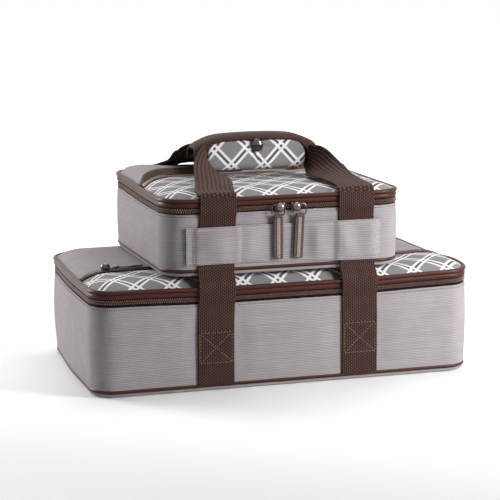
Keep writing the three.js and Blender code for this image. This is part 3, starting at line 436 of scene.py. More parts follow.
def ribbed_material(name, deep, top, rib, thread, depth, roughness, shine):
    material, tree, shader = new_material(name, roughness, specular_ior_level=shine)
    weave = group_in(tree, "Ribbed cloth", {
        "Vector": on_cloth(tree), "Rib Pitch": rib, "Thread Pitch": thread,
    })
    # The deep colour fills the hollows between the ribs as painted shade, mixed with the cloth's streaks of
    # tone
    coloured(tree, shader, weave["Shade"], finish(deep), finish(top))
    bumped(tree, shader, weave["Height"], depth)
    return material


def grey_material(name):
    return ribbed_material(name, "grey_deep", "grey", finish("rib_pitch") / MM, 1.2, 0.22, 0.9, 0.12)


def webbing_material(name):
    material, tree, shader = new_material(name, 0.6, specular_ior_level=0.12)
    weave = group_in(tree, "Webbing weave", {
        "Vector": on_cloth(tree), "Rib": finish("webbing_rib") / MM, "Pick": 3.2,
    })
    # Near-black between the ribs: painted shade, from the weave's Shade
    coloured(tree, shader, weave["Shade"], finish("webbing_deep"), finish("webbing"))
    bumped(tree, shader, weave["Height"], 0.35)
    return material


def plaid_material(name, shift, by_map=False):
    """Plaid cloth. shift slides the pattern on the cloth, in millimetres."""
    f = finishes()
    material, tree, shader = new_material(name, 0.85, specular_ior_level=0.15)
    place = on_cloth(tree) if by_map else in_space(tree)
    slid = node(tree, "ShaderNodeVectorMath", {0: place, 1: (*shift, 0)}, operation="ADD").outputs[0]
    lines = group_in(tree, "Bias plaid", {"Vector": slid, "Pitch": f.plaid_pitch / MM})
    weave = group_in(tree, "Ribbed cloth", {
        "Vector": on_cloth(tree), "Rib Pitch": 0.9, "Thread Pitch": 0.9,
    })
    # The ground darkens between the weave's ribs: painted shade, with streaks of tone
    ground = mixed(tree, weave["Shade"], darker(f.plaid_ground, 0.8), f.plaid_ground)
    coloured(tree, shader, lines["Light"], mixed(tree, lines["Dark"], ground, f.plaid_gap), f.plaid_line)
    bumped(tree, shader, weave["Height"], 0.08)
    return material


def foil_material(name):
    """Crinkled foil, quilted on the bias."""
    foil = finish("foil")
    material, tree, shader = new_material(name, 0.34, 0.6)
    place = in_space(tree)
    crinkle = node(tree, "ShaderNodeTexNoise", {
        "Vector": place, "Scale": 0.25, "Detail": 4.0, "Distortion": 1.2,
    }).outputs[0]
    quilt = group_in(tree, "Bias plaid", {"Vector": place, "Pitch": 44.0, "Line": 1.2, "Gap": 0.8})
    sewn = maths(tree, "MAXIMUM", quilt["Light"], quilt["Dark"])
    # Painted shade: the foil darkens in the hollows of its crinkles and along its sunken quilting seams
    coloured(tree, shader, crinkle, darker(foil, 0.8), mixed(tree, sewn, foil, darker(foil, 0.62)))
    bumped(tree, shader, maths(tree, "SUBTRACT", crinkle, sewn), 1.1)
    return material


def metal_material(name, colour, roughness):
    """Metal with fine handling marks, which are also a little rougher or smoother."""
    material, tree, shader = new_material(name, roughness, 1.0)
    marks = noise_at(tree, in_space(tree), 0.6, 5.0)
    coloured(tree, shader, marks, darker(finish(colour), 0.75), finish(colour))
    rough = maths(tree, "MULTIPLY_ADD", marks, 0.16, roughness - 0.08)
    tree.links.new(rough, shader.inputs["Roughness"])
    bumped(tree, shader, marks, 0.02)
    return material


def moulded_material(name, colour, roughness, coat=0.0):
    """Moulded plastic or enamel with a faint mottle."""
    material, tree, shader = new_material(name, roughness, coat_weight=coat, coat_roughness=0.1)
    mottle = noise_at(tree, in_space(tree), 0.8, 3.0)
    coloured(tree, shader, mottle, darker(finish(colour), 0.78), finish(colour))
    bumped(tree, shader, mottle, 0.03)
    return material


def thread_material(name, colour):
    """Twisted sewing thread."""
    material, tree, shader = new_material(name, 0.6)
    place = node(tree, "ShaderNodeSeparateXYZ", {0: in_space(tree)}).outputs
    turns = maths(tree, "ADD", maths(tree, "ADD", place[0], place[1]), place[2])
    twist = wave(tree, maths(tree, "MULTIPLY", turns, 1.6))
    # Painted shade: the thread darkens in the grooves of its twist
    coloured(tree, shader, twist, darker(finish(colour), 0.7), finish(colour))
    bumped(tree, shader, twist, 0.05)
    return material


# Maker and values of each material. Ribbed cloth has its deep and top colour, then rib, thread and depth
# in millimetres, roughness and shine. Metal and moulded pieces have their colour, roughness and coat.
MATERIALS = {
    "Grey ribbed cloth": (grey_material,),
    "Brown satin trim": (ribbed_material, "trim_deep", "trim", 0.9, 0.7, 0.06, 0.34, 0.22),
    "Zip tape": (ribbed_material, "zip_tape_deep", "zip_tape", 1.1, 0.9, 0.15, 0.8, 0.12),
    "Woven pocket band": (ribbed_material, "band_deep", "band", 2.0, 1.9, 0.3, 0.75, 0.3),
    # Brown satin piping lightened to tan: a painted highlight
    "Tan satin": (ribbed_material, "trim", "bead", 0.9, 0.7, 0.05, 0.35, 0.5),
    "Tab ribbon": (ribbed_material, "tab_deep", "webbing", 1.9, 1.4, 0.4, 0.5, 0.5),
    "Tab stripe": (ribbed_material, "stripe_deep", "stripe", 1.9, 1.4, 0.3, 0.35, 0.5),
    "Brown webbing": (webbing_material,),
    "Plaid, lower lid": (plaid_material, (9.2, 1.5)),
    "Plaid, upper lid": (plaid_material, (-3.0, 13.0)),
    "Plaid, grip": (plaid_material, (9.1, -6.1), True),
    "Quilted foil": (foil_material,),
    "Dark metal": (metal_material, "dark_metal", 0.24),
    "Bright wire": (metal_material, "wire", 0.25),
    "Black enamel": (moulded_material, "enamel", 0.12, 1.0),
    "Snap enamel": (moulded_material, "snap", 0.15, 1.0),
    "Zip teeth": (moulded_material, "teeth", 0.34, 0.3),
    "Base board": (moulded_material, "board", 0.6),
    "Light thread": (thread_material, "thread_light"),
    "Dark thread": (thread_material, "thread_dark"),
    "Tan thread": (thread_material, "thread_tan"),
}


def material_named(name):
    maker, *values = MATERIALS[name]
    return bpy.data.materials.get(name) or maker(name, *values)


# Selecting and modelling

def pick(*pieces):
    """Selects pieces and makes the first one active."""
    bpy.ops.object.select_all(action="DESELECT")
    for piece in pieces:
        piece.select_set(True)
    bpy.context.view_layer.objects.active = pieces[0]


def running_lengths(points):
    """Distance along a row of points at each of them, in millimetres."""
    total, lengths = 0.0, [0.0]
    for before, after in zip(points, points[1:]):
        total += (after - before).length / MM
        lengths.append(total)
    return lengths


def smoothstep(value, low=0.0, high=1.0):
    share = min(max((value - low) / (high - low), 0.0), 1.0)
    return share * share * (3 - 2 * share)


def cut_cloth(name, columns, rows, place):
    """A flat grid laid out point by point. place(column, row) gives a point and its place on the cloth."""
    bpy.ops.object.select_all(action="DESELECT")
    bpy.ops.mesh.primitive_grid_add(x_subdivisions=columns, y_subdivisions=rows, size=2)
    piece = bpy.context.object
    piece.name = piece.data.name = name
    spots = []
    for vertex in piece.data.vertices:
        column = round((vertex.co.x + 1) / 2 * columns)
        row = round((vertex.co.y + 1) / 2 * rows)
        vertex.co, spot = place(column, row)
        spots.append(spot)
    for loop, corner in zip(piece.data.loops, piece.data.uv_layers.active.data):
        corner.uv = spots[loop.vertex_index]
    return piece


def in_edit_mode(piece, *steps):
    """Runs steps in edit mode, each on all of a piece."""
    pick(piece)
    bpy.ops.object.mode_set(mode="EDIT")
    for step in steps:
        bpy.ops.mesh.select_all(action="SELECT")
        step()
    bpy.ops.object.mode_set(mode="OBJECT")
    return piece


def close_shell(piece):
    """Merges a piece's seams and poles, closes its open ends and turns its faces outwards."""
    return in_edit_mode(
        piece, lambda: bpy.ops.mesh.remove_doubles(threshold=2e-6),
        lambda: bpy.ops.mesh.fill_holes(sides=0), bpy.ops.mesh.normals_make_consistent)


def sewn_through(name, sections, is_ring=False):
    """A closed piece through a row of sections with the same number of points each."""
    count, total = len(sections[0]), len(sections)
    middle = sections[total // 2]
    across = running_lengths([*middle, middle[0]])
    centres = [sum(section, Vector()) / count for section in sections]
    along = running_lengths([*centres, centres[0]])

    def place(column, row):
        return sections[row % total][column % count], (across[column], along[row])

    return close_shell(cut_cloth(name, count, total if is_ring else total - 1, place))


def flat_section(centre, across, normal, width, thick, steps, cup):
    """Section of a strip: flat faces with rounded edges, cupped across by cup."""
    half = width / 2 - thick / 2
    front = [-half + 2 * half * step / steps for step in range(steps + 1)]
    points = [(a, thick / 2) for a in front] + [(width / 2, 0)]
    points += [(a, -thick / 2) for a in reversed(front)] + [(-width / 2, 0)]
    return [centre + across * a + normal * (b + cup * (1 - (2 * a / width) ** 2)) for a, b in points]


def directions_along(points, is_ring=False):
    """Direction of a row of points at each of them."""
    first, last = (points[-1], points[0]) if is_ring else (points[0], points[-1])
    ends = [first, *points, last]
    return [(after - before).normalized() for before, after in zip(ends, ends[2:])]


def level_stations(points, width, thick):
    """Stations of a strip that stays level across."""
    return [(point, RIGHT, width, thick, 0.0) for point in points]


def strip_through(name, stations, steps=8):
    """Webbing through stations, each a centre, a direction across, a width, a thickness and a cup."""
    sections = []
    directions = directions_along([station[0] for station in stations])
    for (centre, across, width, thick, cup), along in zip(stations, directions):
        level = (across - along * along.dot(across)).normalized()
        sections.append(flat_section(centre, level, along.cross(level), width, thick, steps, cup))
    return sewn_through(name, sections)


def tube_through(name, points, radius, is_ring=False, sides=10):
    """A round cord through points."""
    turns = [2 * math.pi * side / sides for side in range(sides)]
    tangents = directions_along(points, is_ring)
    side = tangents[0].orthogonal().normalized()
    sections = []
    for point, along in zip(points, tangents):
        side = (side - along * along.dot(side)).normalized()
        other = along.cross(side)
        sections.append([
            point + side * radius * math.cos(turn) + other * radius * math.sin(turn) for turn in turns])
    return sewn_through(name, sections, is_ring)


def eased_curve(points, steps):
    """A smooth curve through points, evenly shared between them, as a list of points."""
    ends = [2 * points[0] - points[1], *points, 2 * points[-1] - points[-2]]
    spans = len(points) - 1
    return [eased_point(ends, min(int(spans * step / steps), spans - 1), spans * step / steps)
            for step in range(steps + 1)]


def eased_point(ends, span, place):
    """One point of a centripetal spline between ends[span + 1] and ends[span + 2]."""
    p0, p1, p2, p3 = ends[span:span + 4]
    share = place - span
    gaps = [max((b - a).length ** 0.5, 1e-6) for a, b in ((p0, p1), (p1, p2), (p2, p3))]
    start = (p1 - p0) / gaps[0] - (p2 - p0) / (gaps[0] + gaps[1]) + (p2 - p1) / gaps[1]
    end = (p2 - p1) / gaps[1] - (p3 - p1) / (gaps[1] + gaps[2]) + (p3 - p2) / gaps[2]
    start, end = start * gaps[1], end * gaps[1]
    square, cube = share * share, share ** 3
    return (p1 * (2 * cube - 3 * square + 1) + start * (cube - 2 * square + share)
            + p2 * (3 * square - 2 * cube) + end * (cube - square))


def copied_along(name, model, places):
    """Copies of a small model at many places, joined into one piece."""
    points = [vertex.co.copy() for vertex in model.data.vertices]
    faces = [tuple(polygon.vertices) for polygon in model.data.polygons]
    all_points, all_faces = [], []
    for place in places:
        first = len(all_points)
        all_points += [place @ point for point in points]
        all_faces += [tuple(first + index for index in face) for face in faces]
    mesh = bpy.data.meshes.new(name)
    mesh.from_pydata(all_points, [], all_faces)
    piece = bpy.data.objects.new(name, mesh)
    bpy.context.collection.objects.link(piece)
    bpy.data.objects.remove(model)
    return piece


def standing(point, along, outward):
    """A place at point whose X runs along and whose -Y faces outward."""
    up = along.cross(-outward).normalized()
    turned = Matrix((along.normalized(), -outward.normalized(), up)).transposed().to_4x4()
    return Matrix.Translation(point) @ turned


def apply_modifier(piece, kind, **settings):
    pick(piece)
    modifier = piece.modifiers.new(kind.title(), kind)
    for name, value in settings.items():
        setattr(modifier, name, value)
    bpy.ops.object.modifier_apply(modifier=modifier.name)


def joined(name, pieces):
    pick(*pieces)
    bpy.ops.object.join()
    pieces[0].name = pieces[0].data.name = name
    return pieces[0]


def settled(piece):
    """Puts a modelled piece's place into its mesh."""
    pick(piece)
    bpy.ops.object.transform_apply(location=True, rotation=True, scale=True)
    return piece


def block(size, place=(0, 0, 0), taper=1.0, **bevel):
    """A block with rounded edges, lower by taper on its right."""
    bpy.ops.object.select_all(action="DESELECT")
    bpy.ops.mesh.primitive_cube_add(size=1, location=place, scale=size)
    piece = settled(bpy.context.object)
    for vertex in piece.data.vertices:
        if taper != 1.0 and vertex.co.x > 0:
            vertex.co.z *= taper
    apply_modifier(piece, "BEVEL", **bevel)
    return piece


def ball(half_sizes, place, segments, rings, turn=0):
    """A ball squashed to its three half sizes, then turned round Y."""
    bpy.ops.object.select_all(action="DESELECT")
    bpy.ops.mesh.primitive_uv_sphere_add(
        segments=segments, ring_count=rings, radius=1,
        location=place, rotation=(0, turn, 0), scale=half_sizes)
    return settled(bpy.context.object)


def in_mm(*sizes):
    return tuple(size * MM for size in sizes)


def cloth_shift(name, point):
    """How far a carrier's cloth stands from its plain shape: rear corners drawn in, a side bowed up.
    Each change sets in between two places, in metres."""
    s = shape()
    x, y, z = point
    if name == "upper":
        behind = smoothstep(-x, 0.06, 0.13) * smoothstep(y, -0.06, 0.11)
        return Vector((0, 0, s.rear_lift * behind * smoothstep(z, 0.15, 0.185)))
    behind = smoothstep(-x, 0.1, 0.21) * smoothstep(y, -0.03, 0.125)
    beside = smoothstep(x, 0.15, 0.21) * (1 - smoothstep(abs(y + 0.075), 0, 0.06))
    sagging = smoothstep(-y, 0.108, 0.122) * (1 - smoothstep(abs(x), 0.06, 0.19))
    rise = (s.side_bow * beside - s.front_sag * sagging) * smoothstep(z, 0.04, 0.1)
    return Vector((s.rear_draw * behind * (1.3 - 0.3 * smoothstep(z, 0, 0.06)), 0, rise))


def dress(piece, body, material, stands_for=()):
    """Gives a finished piece its material and shading, and lets it ride on a body."""
    name = piece.name.split("_")[0]
    if name in ("lower", "upper") and (body is None or body.endswith(("_tray", "_lid"))):
        for vertex in piece.data.vertices:
            vertex.co += cloth_shift(name, vertex.co)
    if material:
        piece.data.materials.clear()
        piece.data.materials.append(material_named(material))
    pick(piece)
    bpy.ops.object.shade_smooth_by_angle(angle=SMOOTH_ANGLE)
    if body:
        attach(piece, body)
    if stands_for:
        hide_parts(*stands_for)
    return piece


# Places on a carrier

class Carrier:
    """One carrier's outline and heights, read from its solids."""

    def __init__(self, name, corner, pocket_bend, pad_raise, band, belly):
        self.name, self.corner, self.pocket_bend = name, corner, pocket_bend
        self.pad_raise, self.band, self.belly = pad_raise, band, belly
        wall_low, wall_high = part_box(f"{name}_outer_wall")
        self.half_x, self.half_y = wall_high.x, wall_high.y
        self.wall_low, self.wall_top = wall_low.z, wall_high.z + WALL_RISE[name]
        self.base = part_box(f"{name}_base_panel")[0].z
        self.chain = (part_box(f"{name}_tray_zip")[1].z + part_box(f"{name}_lid_zip")[0].z) / 2
        self.tape_low, self.tape_top = self.wall_top + 0.3 * MM, self.chain + 2.7 * MM
        self.gusset_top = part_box(f"{name}_lid_gusset")[1].z
        piping_low, piping_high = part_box(f"{name}_lid_piping")
        self.piping, self.lid_edge = (piping_low.z + piping_high.z) / 2, piping_high.z
        self.lid_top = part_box(f"{name}_plaid_panel")[1].z
        self.liner_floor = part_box(f"{name}_tray_liner")[0].z
        tape_half = 4.5 * MM
        self.pocket_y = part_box(f"{name}_pocket_tape")[1].y - tape_half
        self.zip_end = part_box(f"{name}_lid_zip")[1].y
        rear_room = self.half_y - self.zip_end - 2 * MM
        self.rear_corner = max(corner, min(corner * REAR_CORNER_SHARE, rear_room))

    def spot(self, stop, inset, z):
        """Point at a stop of the outline, moved in by inset."""
        part, share = stop
        x, y = self.half_x - inset, self.half_y - inset
        front, rear = max(self.corner - inset, 0.0), max(self.rear_corner - inset, 0.0)
        ax, ay, bx, by = x - front, y - front, x - rear, y - rear
        corners = {
            1: (-bx, by, 90, rear), 3: (-ax, -ay, 180, front),
            5: (ax, -ay, 270, front), 7: (bx, by, 0, rear),
        }
        if part in corners:
            cx, cy, start, radius = corners[part]
            turn = math.radians(start + 90 * share)
            return Vector((cx + radius * math.cos(turn), cy + radius * math.sin(turn), z))
        (x0, y0), (x1, y1) = {
            0: ((0, y), (-bx, y)), 2: ((-x, by), (-x, -ay)), 4: ((-ax, -y), (ax, -y)),
            6: ((x, -ay), (x, by)), 8: ((bx, y), (0, y)),
        }[part]
        return Vector((x0 + (x1 - x0) * share, y0 + (y1 - y0) * share, z))

    def outward(self, stop):
        return (self.spot(stop, 0, 0) - self.spot(stop, MM, 0)).normalized()

    def side_share(self):
        """Where the zip ends on a side, as a share of the side's straight from the rear."""
        rear = self.half_y - self.rear_corner
        return (rear - self.zip_end) / (rear + self.half_y - self.corner)

    def zip_stops(self):
        start = self.side_share()
        left = [(2, start + (1 - start) * step / SIDE_STEPS) for step in range(SIDE_STEPS)]
        right = [(6, (1 - start) * step / SIDE_STEPS) for step in range(SIDE_STEPS + 1)]
        return left + whole_parts(3, 4, 5) + right

    def rear_stops(self):
        start = self.side_share() - 0.2 * MM / self.half_y
        steps = 4
        right = [(6, 1 - start + start * step / steps) for step in range(steps)]
        left = [(2, start * step / steps) for step in range(steps + 1)]
        return right + whole_parts(7, 8, 0, 1) + left

    def inset_of(self, x, y):
        """How far a point of the lid is in from the outline."""
        corner = self.rear_corner if y > 0 else self.corner
        qx, qy = abs(x) - (self.half_x - corner), abs(y) - (self.half_y - corner)
        outside = math.hypot(max(qx, 0.0), max(qy, 0.0))
        return corner - outside - min(max(qx, qy), 0.0)

    def pocket_line(self, x):
        """Depth of the pocket zip at x: straight, then bent forward at its left end."""
        bend_start = self.half_x - 6 * MM - shape().pocket_bend_run
        share = max(0.0, (-bend_start - x) / shape().pocket_bend_run)
        return self.pocket_y - self.pocket_bend * share * share

    def crown(self, x, y):
        """Height of the lid's taut cover."""
        edge = self.lid_edge - EDGE_DROP
        share = min(max((self.inset_of(x, y) - CROWN_START) / CROWN_RUN, 0.0), 1.0)
        return edge + (self.lid_top - edge) * (1 - (1 - share) ** CROWN_POWER)

    def puff(self, x, y):
        """Soft unevenness of the padding, less than nothing near its edges."""
        lumps = noise.noise(Vector((x * 14, y * 14, self.base * 30)))
        return shape().panel_puff * lumps * smoothstep(self.inset_of(x, y), 3 * MM, 30 * MM)

    def lid_height(self, x, y):
        """Height of the padded lid, with a groove ahead of the pocket zip and a raised pad behind it."""
        behind = y - self.pocket_line(x)
        height = self.crown(x, y) + self.puff(x, y)
        if behind < 0:
            height -= 1.0 * MM * math.exp(-((behind + 6.5 * MM) / (5 * MM)) ** 2)
        rise = smoothstep(behind, 0.5 * MM, self.band) * (1 - 0.6 * smoothstep(behind, self.band, 90 * MM))
        height += self.pad_raise * rise * smoothstep(self.inset_of(x, y), 2 * MM, 11 * MM)
        if self.name == "lower" and abs(x) < COVERED_HALF:
            height = min(height, self.lid_top + 0.5 * MM)
        return height

    def wall_shift(self, point):
        """How far the side cloth stands out or in at a point: straps and grey bands hold it flat."""
        share = (point.z - self.wall_low) / (self.wall_top - self.wall_low)
        dome = math.sin(math.pi * min(max(share, 0.0), 1.0))
        free = 1.0
        if abs(point.y) > self.half_y - self.corner * 0.4:
            strap = abs(abs(point.x) - strap_x())
            free = smoothstep(strap, 24 * MM, 42 * MM)
            if self.name == "upper":
                free = smoothstep(abs(point.x), 108 * MM, 120 * MM)
        lumps = 0.5 + 0.5 * noise.noise(Vector((point.x * 16, point.y * 16, point.z * 5 + self.base * 40)))
        return dome * (self.belly * free - shape().cloth_dents * lumps)


def strap_x():
    low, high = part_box("front_right_handle_strap")
    return (low.x + high.x) / 2


def strap_at(side, z):
    """Middle of a strap at a height: each leans inwards a little on its way up."""
    s = shape()
    foot, top = (s.left_foot, s.left_lean) if side < 0 else (s.right_foot, s.right_lean)
    rise = smoothstep(z, 0.05, 0.21)
    return side * (strap_x() + foot - (foot + top) * rise)


def carriers():
    s = shape()
    return (
        Carrier("lower", s.lower_corner, s.lower_pocket_bend, s.lower_raise, s.lower_band, s.lower_belly),
        Carrier("upper", s.upper_corner, s.upper_pocket_bend, s.upper_raise, s.upper_band, s.upper_belly),
    )


def whole_parts(*parts):
    """Stops over whole parts of an outline: a part's number and an even share of its way."""
    return [(part, step / PART_STEPS[part]) for part in parts for step in range(PART_STEPS[part])]


def round_carrier(name, carrier, profile, is_closed=True, shift=None):
    """A piece all round a carrier. Its profile holds insets and heights, closed or from pole to pole."""
    stops = whole_parts(*range(len(PART_STEPS)))
    arcs = running_lengths([carrier.spot(stop, 0, 0) for stop in [*stops, stops[0]]])
    corners = [Vector((inset, 0, z)) for inset, z in profile]
    ups = running_lengths([*corners, corners[0]])

    def place(column, row):
        stop = stops[column % len(stops)]
        inset, z = profile[row % len(profile)]
        point = carrier.spot(stop, inset, z)
        if shift:
            point += carrier.outward(stop) * shift(point)
        return point, (arcs[column], ups[row])

    rows = len(profile) if is_closed else len(profile) - 1
    return close_shell(cut_cloth(name, len(stops), rows, place))


def along_stops(name, carrier, stops, profile):
    return sewn_through(name, [[carrier.spot(stop, inset, z) for inset, z in profile] for stop in stops])


def cord_profile(inset, z, radius, sides=12):
    turns = (2 * math.pi * side / sides for side in range(sides))
    return [(inset - radius * math.cos(turn), z + radius * math.sin(turn)) for turn in turns]


def up_rows(inset, low, high, rows):
    return [(inset, low + (high - low) * row / rows) for row in range(rows + 1)]


def rows_from(z, *rows):
    """Rows of a profile: insets, and heights above z, both given in millimetres."""
    return [(inset * MM, z + up * MM) for inset, up in rows]


# Pieces of the carriers

def make_trays(carrier):
    """Base cloth, base piping and side cloth of one carrier."""
    name, body, base = carrier.name, f"{carrier.name}_tray", carrier.base
    middle = carrier.half_y
    bottom = round_carrier(f"{name}_base_cloth", carrier, [
        (middle, base),
        *rows_from(base, (40, 0), (5, 0), (2.4, 0.6), (1.1, 2.0), (1.0, 3.8), (2.6, 5.2), (8, 1.4)),
        (middle, base + 1.2 * MM),
    ], is_closed=False)
    dress(bottom, body, "Grey ribbed cloth", [f"{name}_base_panel"])
    cord = round_carrier(f"{name}_base_cord", carrier, cord_profile(1.3 * MM, base + 6.3 * MM, 2.2 * MM))
    dress(cord, body, "Brown satin trim", [f"{name}_base_piping"])
    low, top = carrier.wall_low, carrier.wall_top
    outer = up_rows(0, low, top - 0.5 * MM, 18) + [(0.3 * MM, top)]
    inner = list(reversed(up_rows(1.0 * MM, low, top, 9)))
    cloth = round_carrier(f"{name}_side_cloth", carrier, outer + inner, shift=carrier.wall_shift)
    dress(cloth, body, "Grey ribbed cloth", [f"{name}_outer_wall"])


def make_linings(carrier):
    """Quilted foil in the tray and under the lid, and the board in the base."""
    name, middle = carrier.name, carrier.half_y
    floor, rim = carrier.liner_floor, carrier.chain - 0.8 * MM
    inner_floor = floor + 5 * MM
    tray = round_carrier(f"{name}_tray_lining", carrier, [
        (middle, floor), *rows_from(floor, (40, 0), (9, 0), (4.5, 1.6), (3, 5)),
        *up_rows(3 * MM, floor + 12 * MM, rim - 1 * MM, 4), *rows_from(rim, (3.6, 0), (5.8, 0)),
        *reversed(up_rows(6.5 * MM, inner_floor + 4 * MM, rim - 1 * MM, 8)),
        *rows_from(inner_floor, (7.6, 1.2), (10, 0), (40, 0)), (middle, inner_floor),
    ], is_closed=False)
    dress(tray, f"{name}_tray", "Quilted foil", [f"{name}_tray_liner"])
    under, low, cover = carrier.lid_edge - 3 * MM, carrier.chain + 0.6 * MM, carrier.lid_top - 2.4 * MM
    lid = round_carrier(f"{name}_lid_lining", carrier, [
        (middle, low), *rows_from(low, (60, 0), (20, 0), (4, 0), (3, 1)),
        (3 * MM, carrier.gusset_top - 1 * MM), (5 * MM, under), (14 * MM, under + (cover - under) * 0.55),
        *rows_from(cover, (34, 0), (60, 0)), (middle, cover),
    ], is_closed=False)
    dress(lid, f"{name}_lid", "Quilted foil", [f"{name}_lid_liner"])
    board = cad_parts[f"{name}_base_board"]
    board.data.materials.clear()
    board.data.materials.append(material_named("Base board"))


def zip_places(carrier, pitch, first, z, inset):
    """Places at an even pitch along the zip."""
    stops = carrier.zip_stops()
    points = [carrier.spot(stop, inset, z) for stop in stops]
    return spaced_places(points, [carrier.outward(stop) for stop in stops], pitch, first)


def found_along(lengths, reaches):
    """Where each reach falls in a row of lengths: an index and the share on to the next."""
    index = 0
    for reach in reaches:
        while index < len(lengths) - 2 and lengths[index + 1] < reach:
            index += 1
        yield index, (reach - lengths[index]) / max(lengths[index + 1] - lengths[index], 1e-9)


def spaced_places(points, outwards, pitch, first=0.0):
    """Places at an even pitch along a row of points that each have an outward direction."""
    lengths = running_lengths(points)
    count = int((lengths[-1] - first / MM) / (pitch / MM))
    reaches = [(first + (number + 0.5) * pitch) / MM for number in range(count)]
    places = []
    for index, share in found_along(lengths, reaches):
        along = (points[index + 1] - points[index]).normalized()
        outward = outwards[index].lerp(outwards[index + 1], share)
        outward = (outward - along * along.dot(outward)).normalized()
        places.append(standing(points[index].lerp(points[index + 1], share), along, outward))
    return places


def tooth_model():
    """One moulded tooth: a block with rounded edges."""
    s = sewing()
    return block((s.tooth_width, 1.9 * MM, s.tooth_height), width=0.4 * MM, segments=1)


def stitch_model():
    """One stitch: a short rounded length of thread."""
    s = sewing()
    return ball((s.stitch_width / 2, s.stitch_width / 2, s.stitch_length / 2), (0, 0, 0), 6, 4, math.pi / 2)


def make_zip(carrier):
    """Both halves of the main zip: tapes, and two rows of teeth that lock into each other."""
    name, chain, s = carrier.name, carrier.chain, sewing()
    wall = carrier.wall_top
    stops = carrier.zip_stops()
    tray_tape = along_stops(f"{name}_tray_zip_tape", carrier, stops, [
        *rows_from(wall, (1.1, 0.3), (0.5, 0.8), (0.4, 1.4), (0.7, 2.0), (1.2, 2.4)),
        *rows_from(chain, (1.2, -0.3), (2.2, -0.3)), (2.2 * MM, carrier.tape_low),
    ])
    dress(tray_tape, f"{name}_tray", "Zip tape", [f"{name}_tray_zip"])
    lid_tape = along_stops(f"{name}_lid_zip_tape", carrier, stops, rows_from(
        chain, (1.2, 0.3), (1.2, 2.7), (2.2, 2.7), (2.2, 0.3)))
    dress(lid_tape, f"{name}_lid", "Zip tape", [f"{name}_lid_zip"])
    rows = ((f"{name}_tray", -1, 0.0), (f"{name}_lid", 1, s.tooth_pitch / 2))
    for body, side, first in rows:
        z = chain + side * (s.tooth_height / 2 + 0.15 * MM)
        places = zip_places(carrier, s.tooth_pitch, first, z, 0.45 * MM)
        dress(copied_along(f"{body}_zip_teeth", tooth_model(), places), body, "Zip teeth")


def make_lid_edge(carrier):
    """Gusset, lid piping and the cloth hinge at the rear."""
    name, body = carrier.name, f"{carrier.name}_lid"
    low, top = carrier.chain + 2.9 * MM, carrier.gusset_top + 0.1 * MM
    gusset = round_carrier(f"{name}_gusset_cloth", carrier, [
        *rows_from(low, (0.7, 0), (0, 0.5), (-0.4, 1.4)), (-0.6 * MM, (low + top) / 2),
        *rows_from(top, (-0.4, -1.4), (0, -0.5), (0.8, 0), (1.8, 0)), (1.8 * MM, low),
    ])
    dress(gusset, body, "Brown satin trim", [f"{name}_lid_gusset"])
    cord = round_carrier(f"{name}_lid_cord", carrier, cord_profile(0.9 * MM, carrier.piping, 2.4 * MM))
    dress(cord, body, "Brown satin trim", [f"{name}_lid_piping"])
    wall, end = carrier.tape_low, carrier.tape_top
    outer = up_rows(0.15 * MM, wall + 0.6 * MM, end - 0.6 * MM, 10)
    inner = reversed(up_rows(1.3 * MM, wall, end, 10))
    hinge = along_stops(f"{name}_hinge_cloth", carrier, carrier.rear_stops(),
                        [(0.6 * MM, wall), *outer, (0.6 * MM, end), *inner])
    dress(hinge, None, "Brown satin trim", [f"{name}_lid_hinge"])
    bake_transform(hinge)


def panel_columns(carrier):
    """Places across a lid panel, close together round its corners."""
    radius = carrier.corner - PAD_INSET
    straight = carrier.half_x - PAD_INSET - radius
    corner = [straight + radius * math.sin(math.pi / 2 * step / 8) for step in range(8, 0, -1)]
    level = [straight - 2 * straight * step / 72 for step in range(73)]
    return [-x for x in corner + level] + corner[::-1]


def edge_of_panel(carrier, x):
    """How far the lid reaches to the front or rear at x."""
    radius = carrier.corner - PAD_INSET
    past = max(abs(x) - (carrier.half_x - PAD_INSET - radius), 0.0)
    return carrier.half_y - PAD_INSET - radius + math.sqrt(max(radius * radius - past * past, 0.0))


def lid_panel(name, carrier, facing, gap):
    """A padded panel between the lid's edge and the pocket line."""
    columns = panel_columns(carrier)

    def place(column, row):
        x, share = columns[column], row / PAD_ROWS
        line = carrier.pocket_line(x) + facing * gap
        edge = facing * edge_of_panel(carrier, x)
        share = share - 0.6 * math.sin(2 * math.pi * share) / (2 * math.pi)
        y = edge + (line - edge) * share
        return Vector((x, y, carrier.lid_height(x, y))), (x / MM, y / MM)

    panel = cut_cloth(name, len(columns) - 1, PAD_ROWS, place)
    in_edit_mode(panel, bpy.ops.mesh.normals_make_consistent)
    if sum(polygon.normal.z * polygon.area for polygon in panel.data.polygons) < 0:
        panel.data.flip_normals()
    apply_modifier(panel, "SOLIDIFY", thickness=PAD_CLOTH, offset=-1)
    return panel


def make_lid_panels(carrier):
    """The plaid pad ahead of the pocket zip and the grey one behind it."""
    name = carrier.name
    for pad, solid, facing, gap, material, slot in (
            ("plaid_pad", "plaid_panel", -1, 6.8 * MM, f"Plaid, {name} lid", "plaid_cloth"),
            ("rear_pad", "rear_panel", 1, carrier.band, "Grey ribbed cloth", "grey_cloth")):
        panel = lid_panel(f"{name}_{pad}", carrier, facing, gap)
        dress(panel, f"{name}_lid", material, [f"{name}_{solid}"])


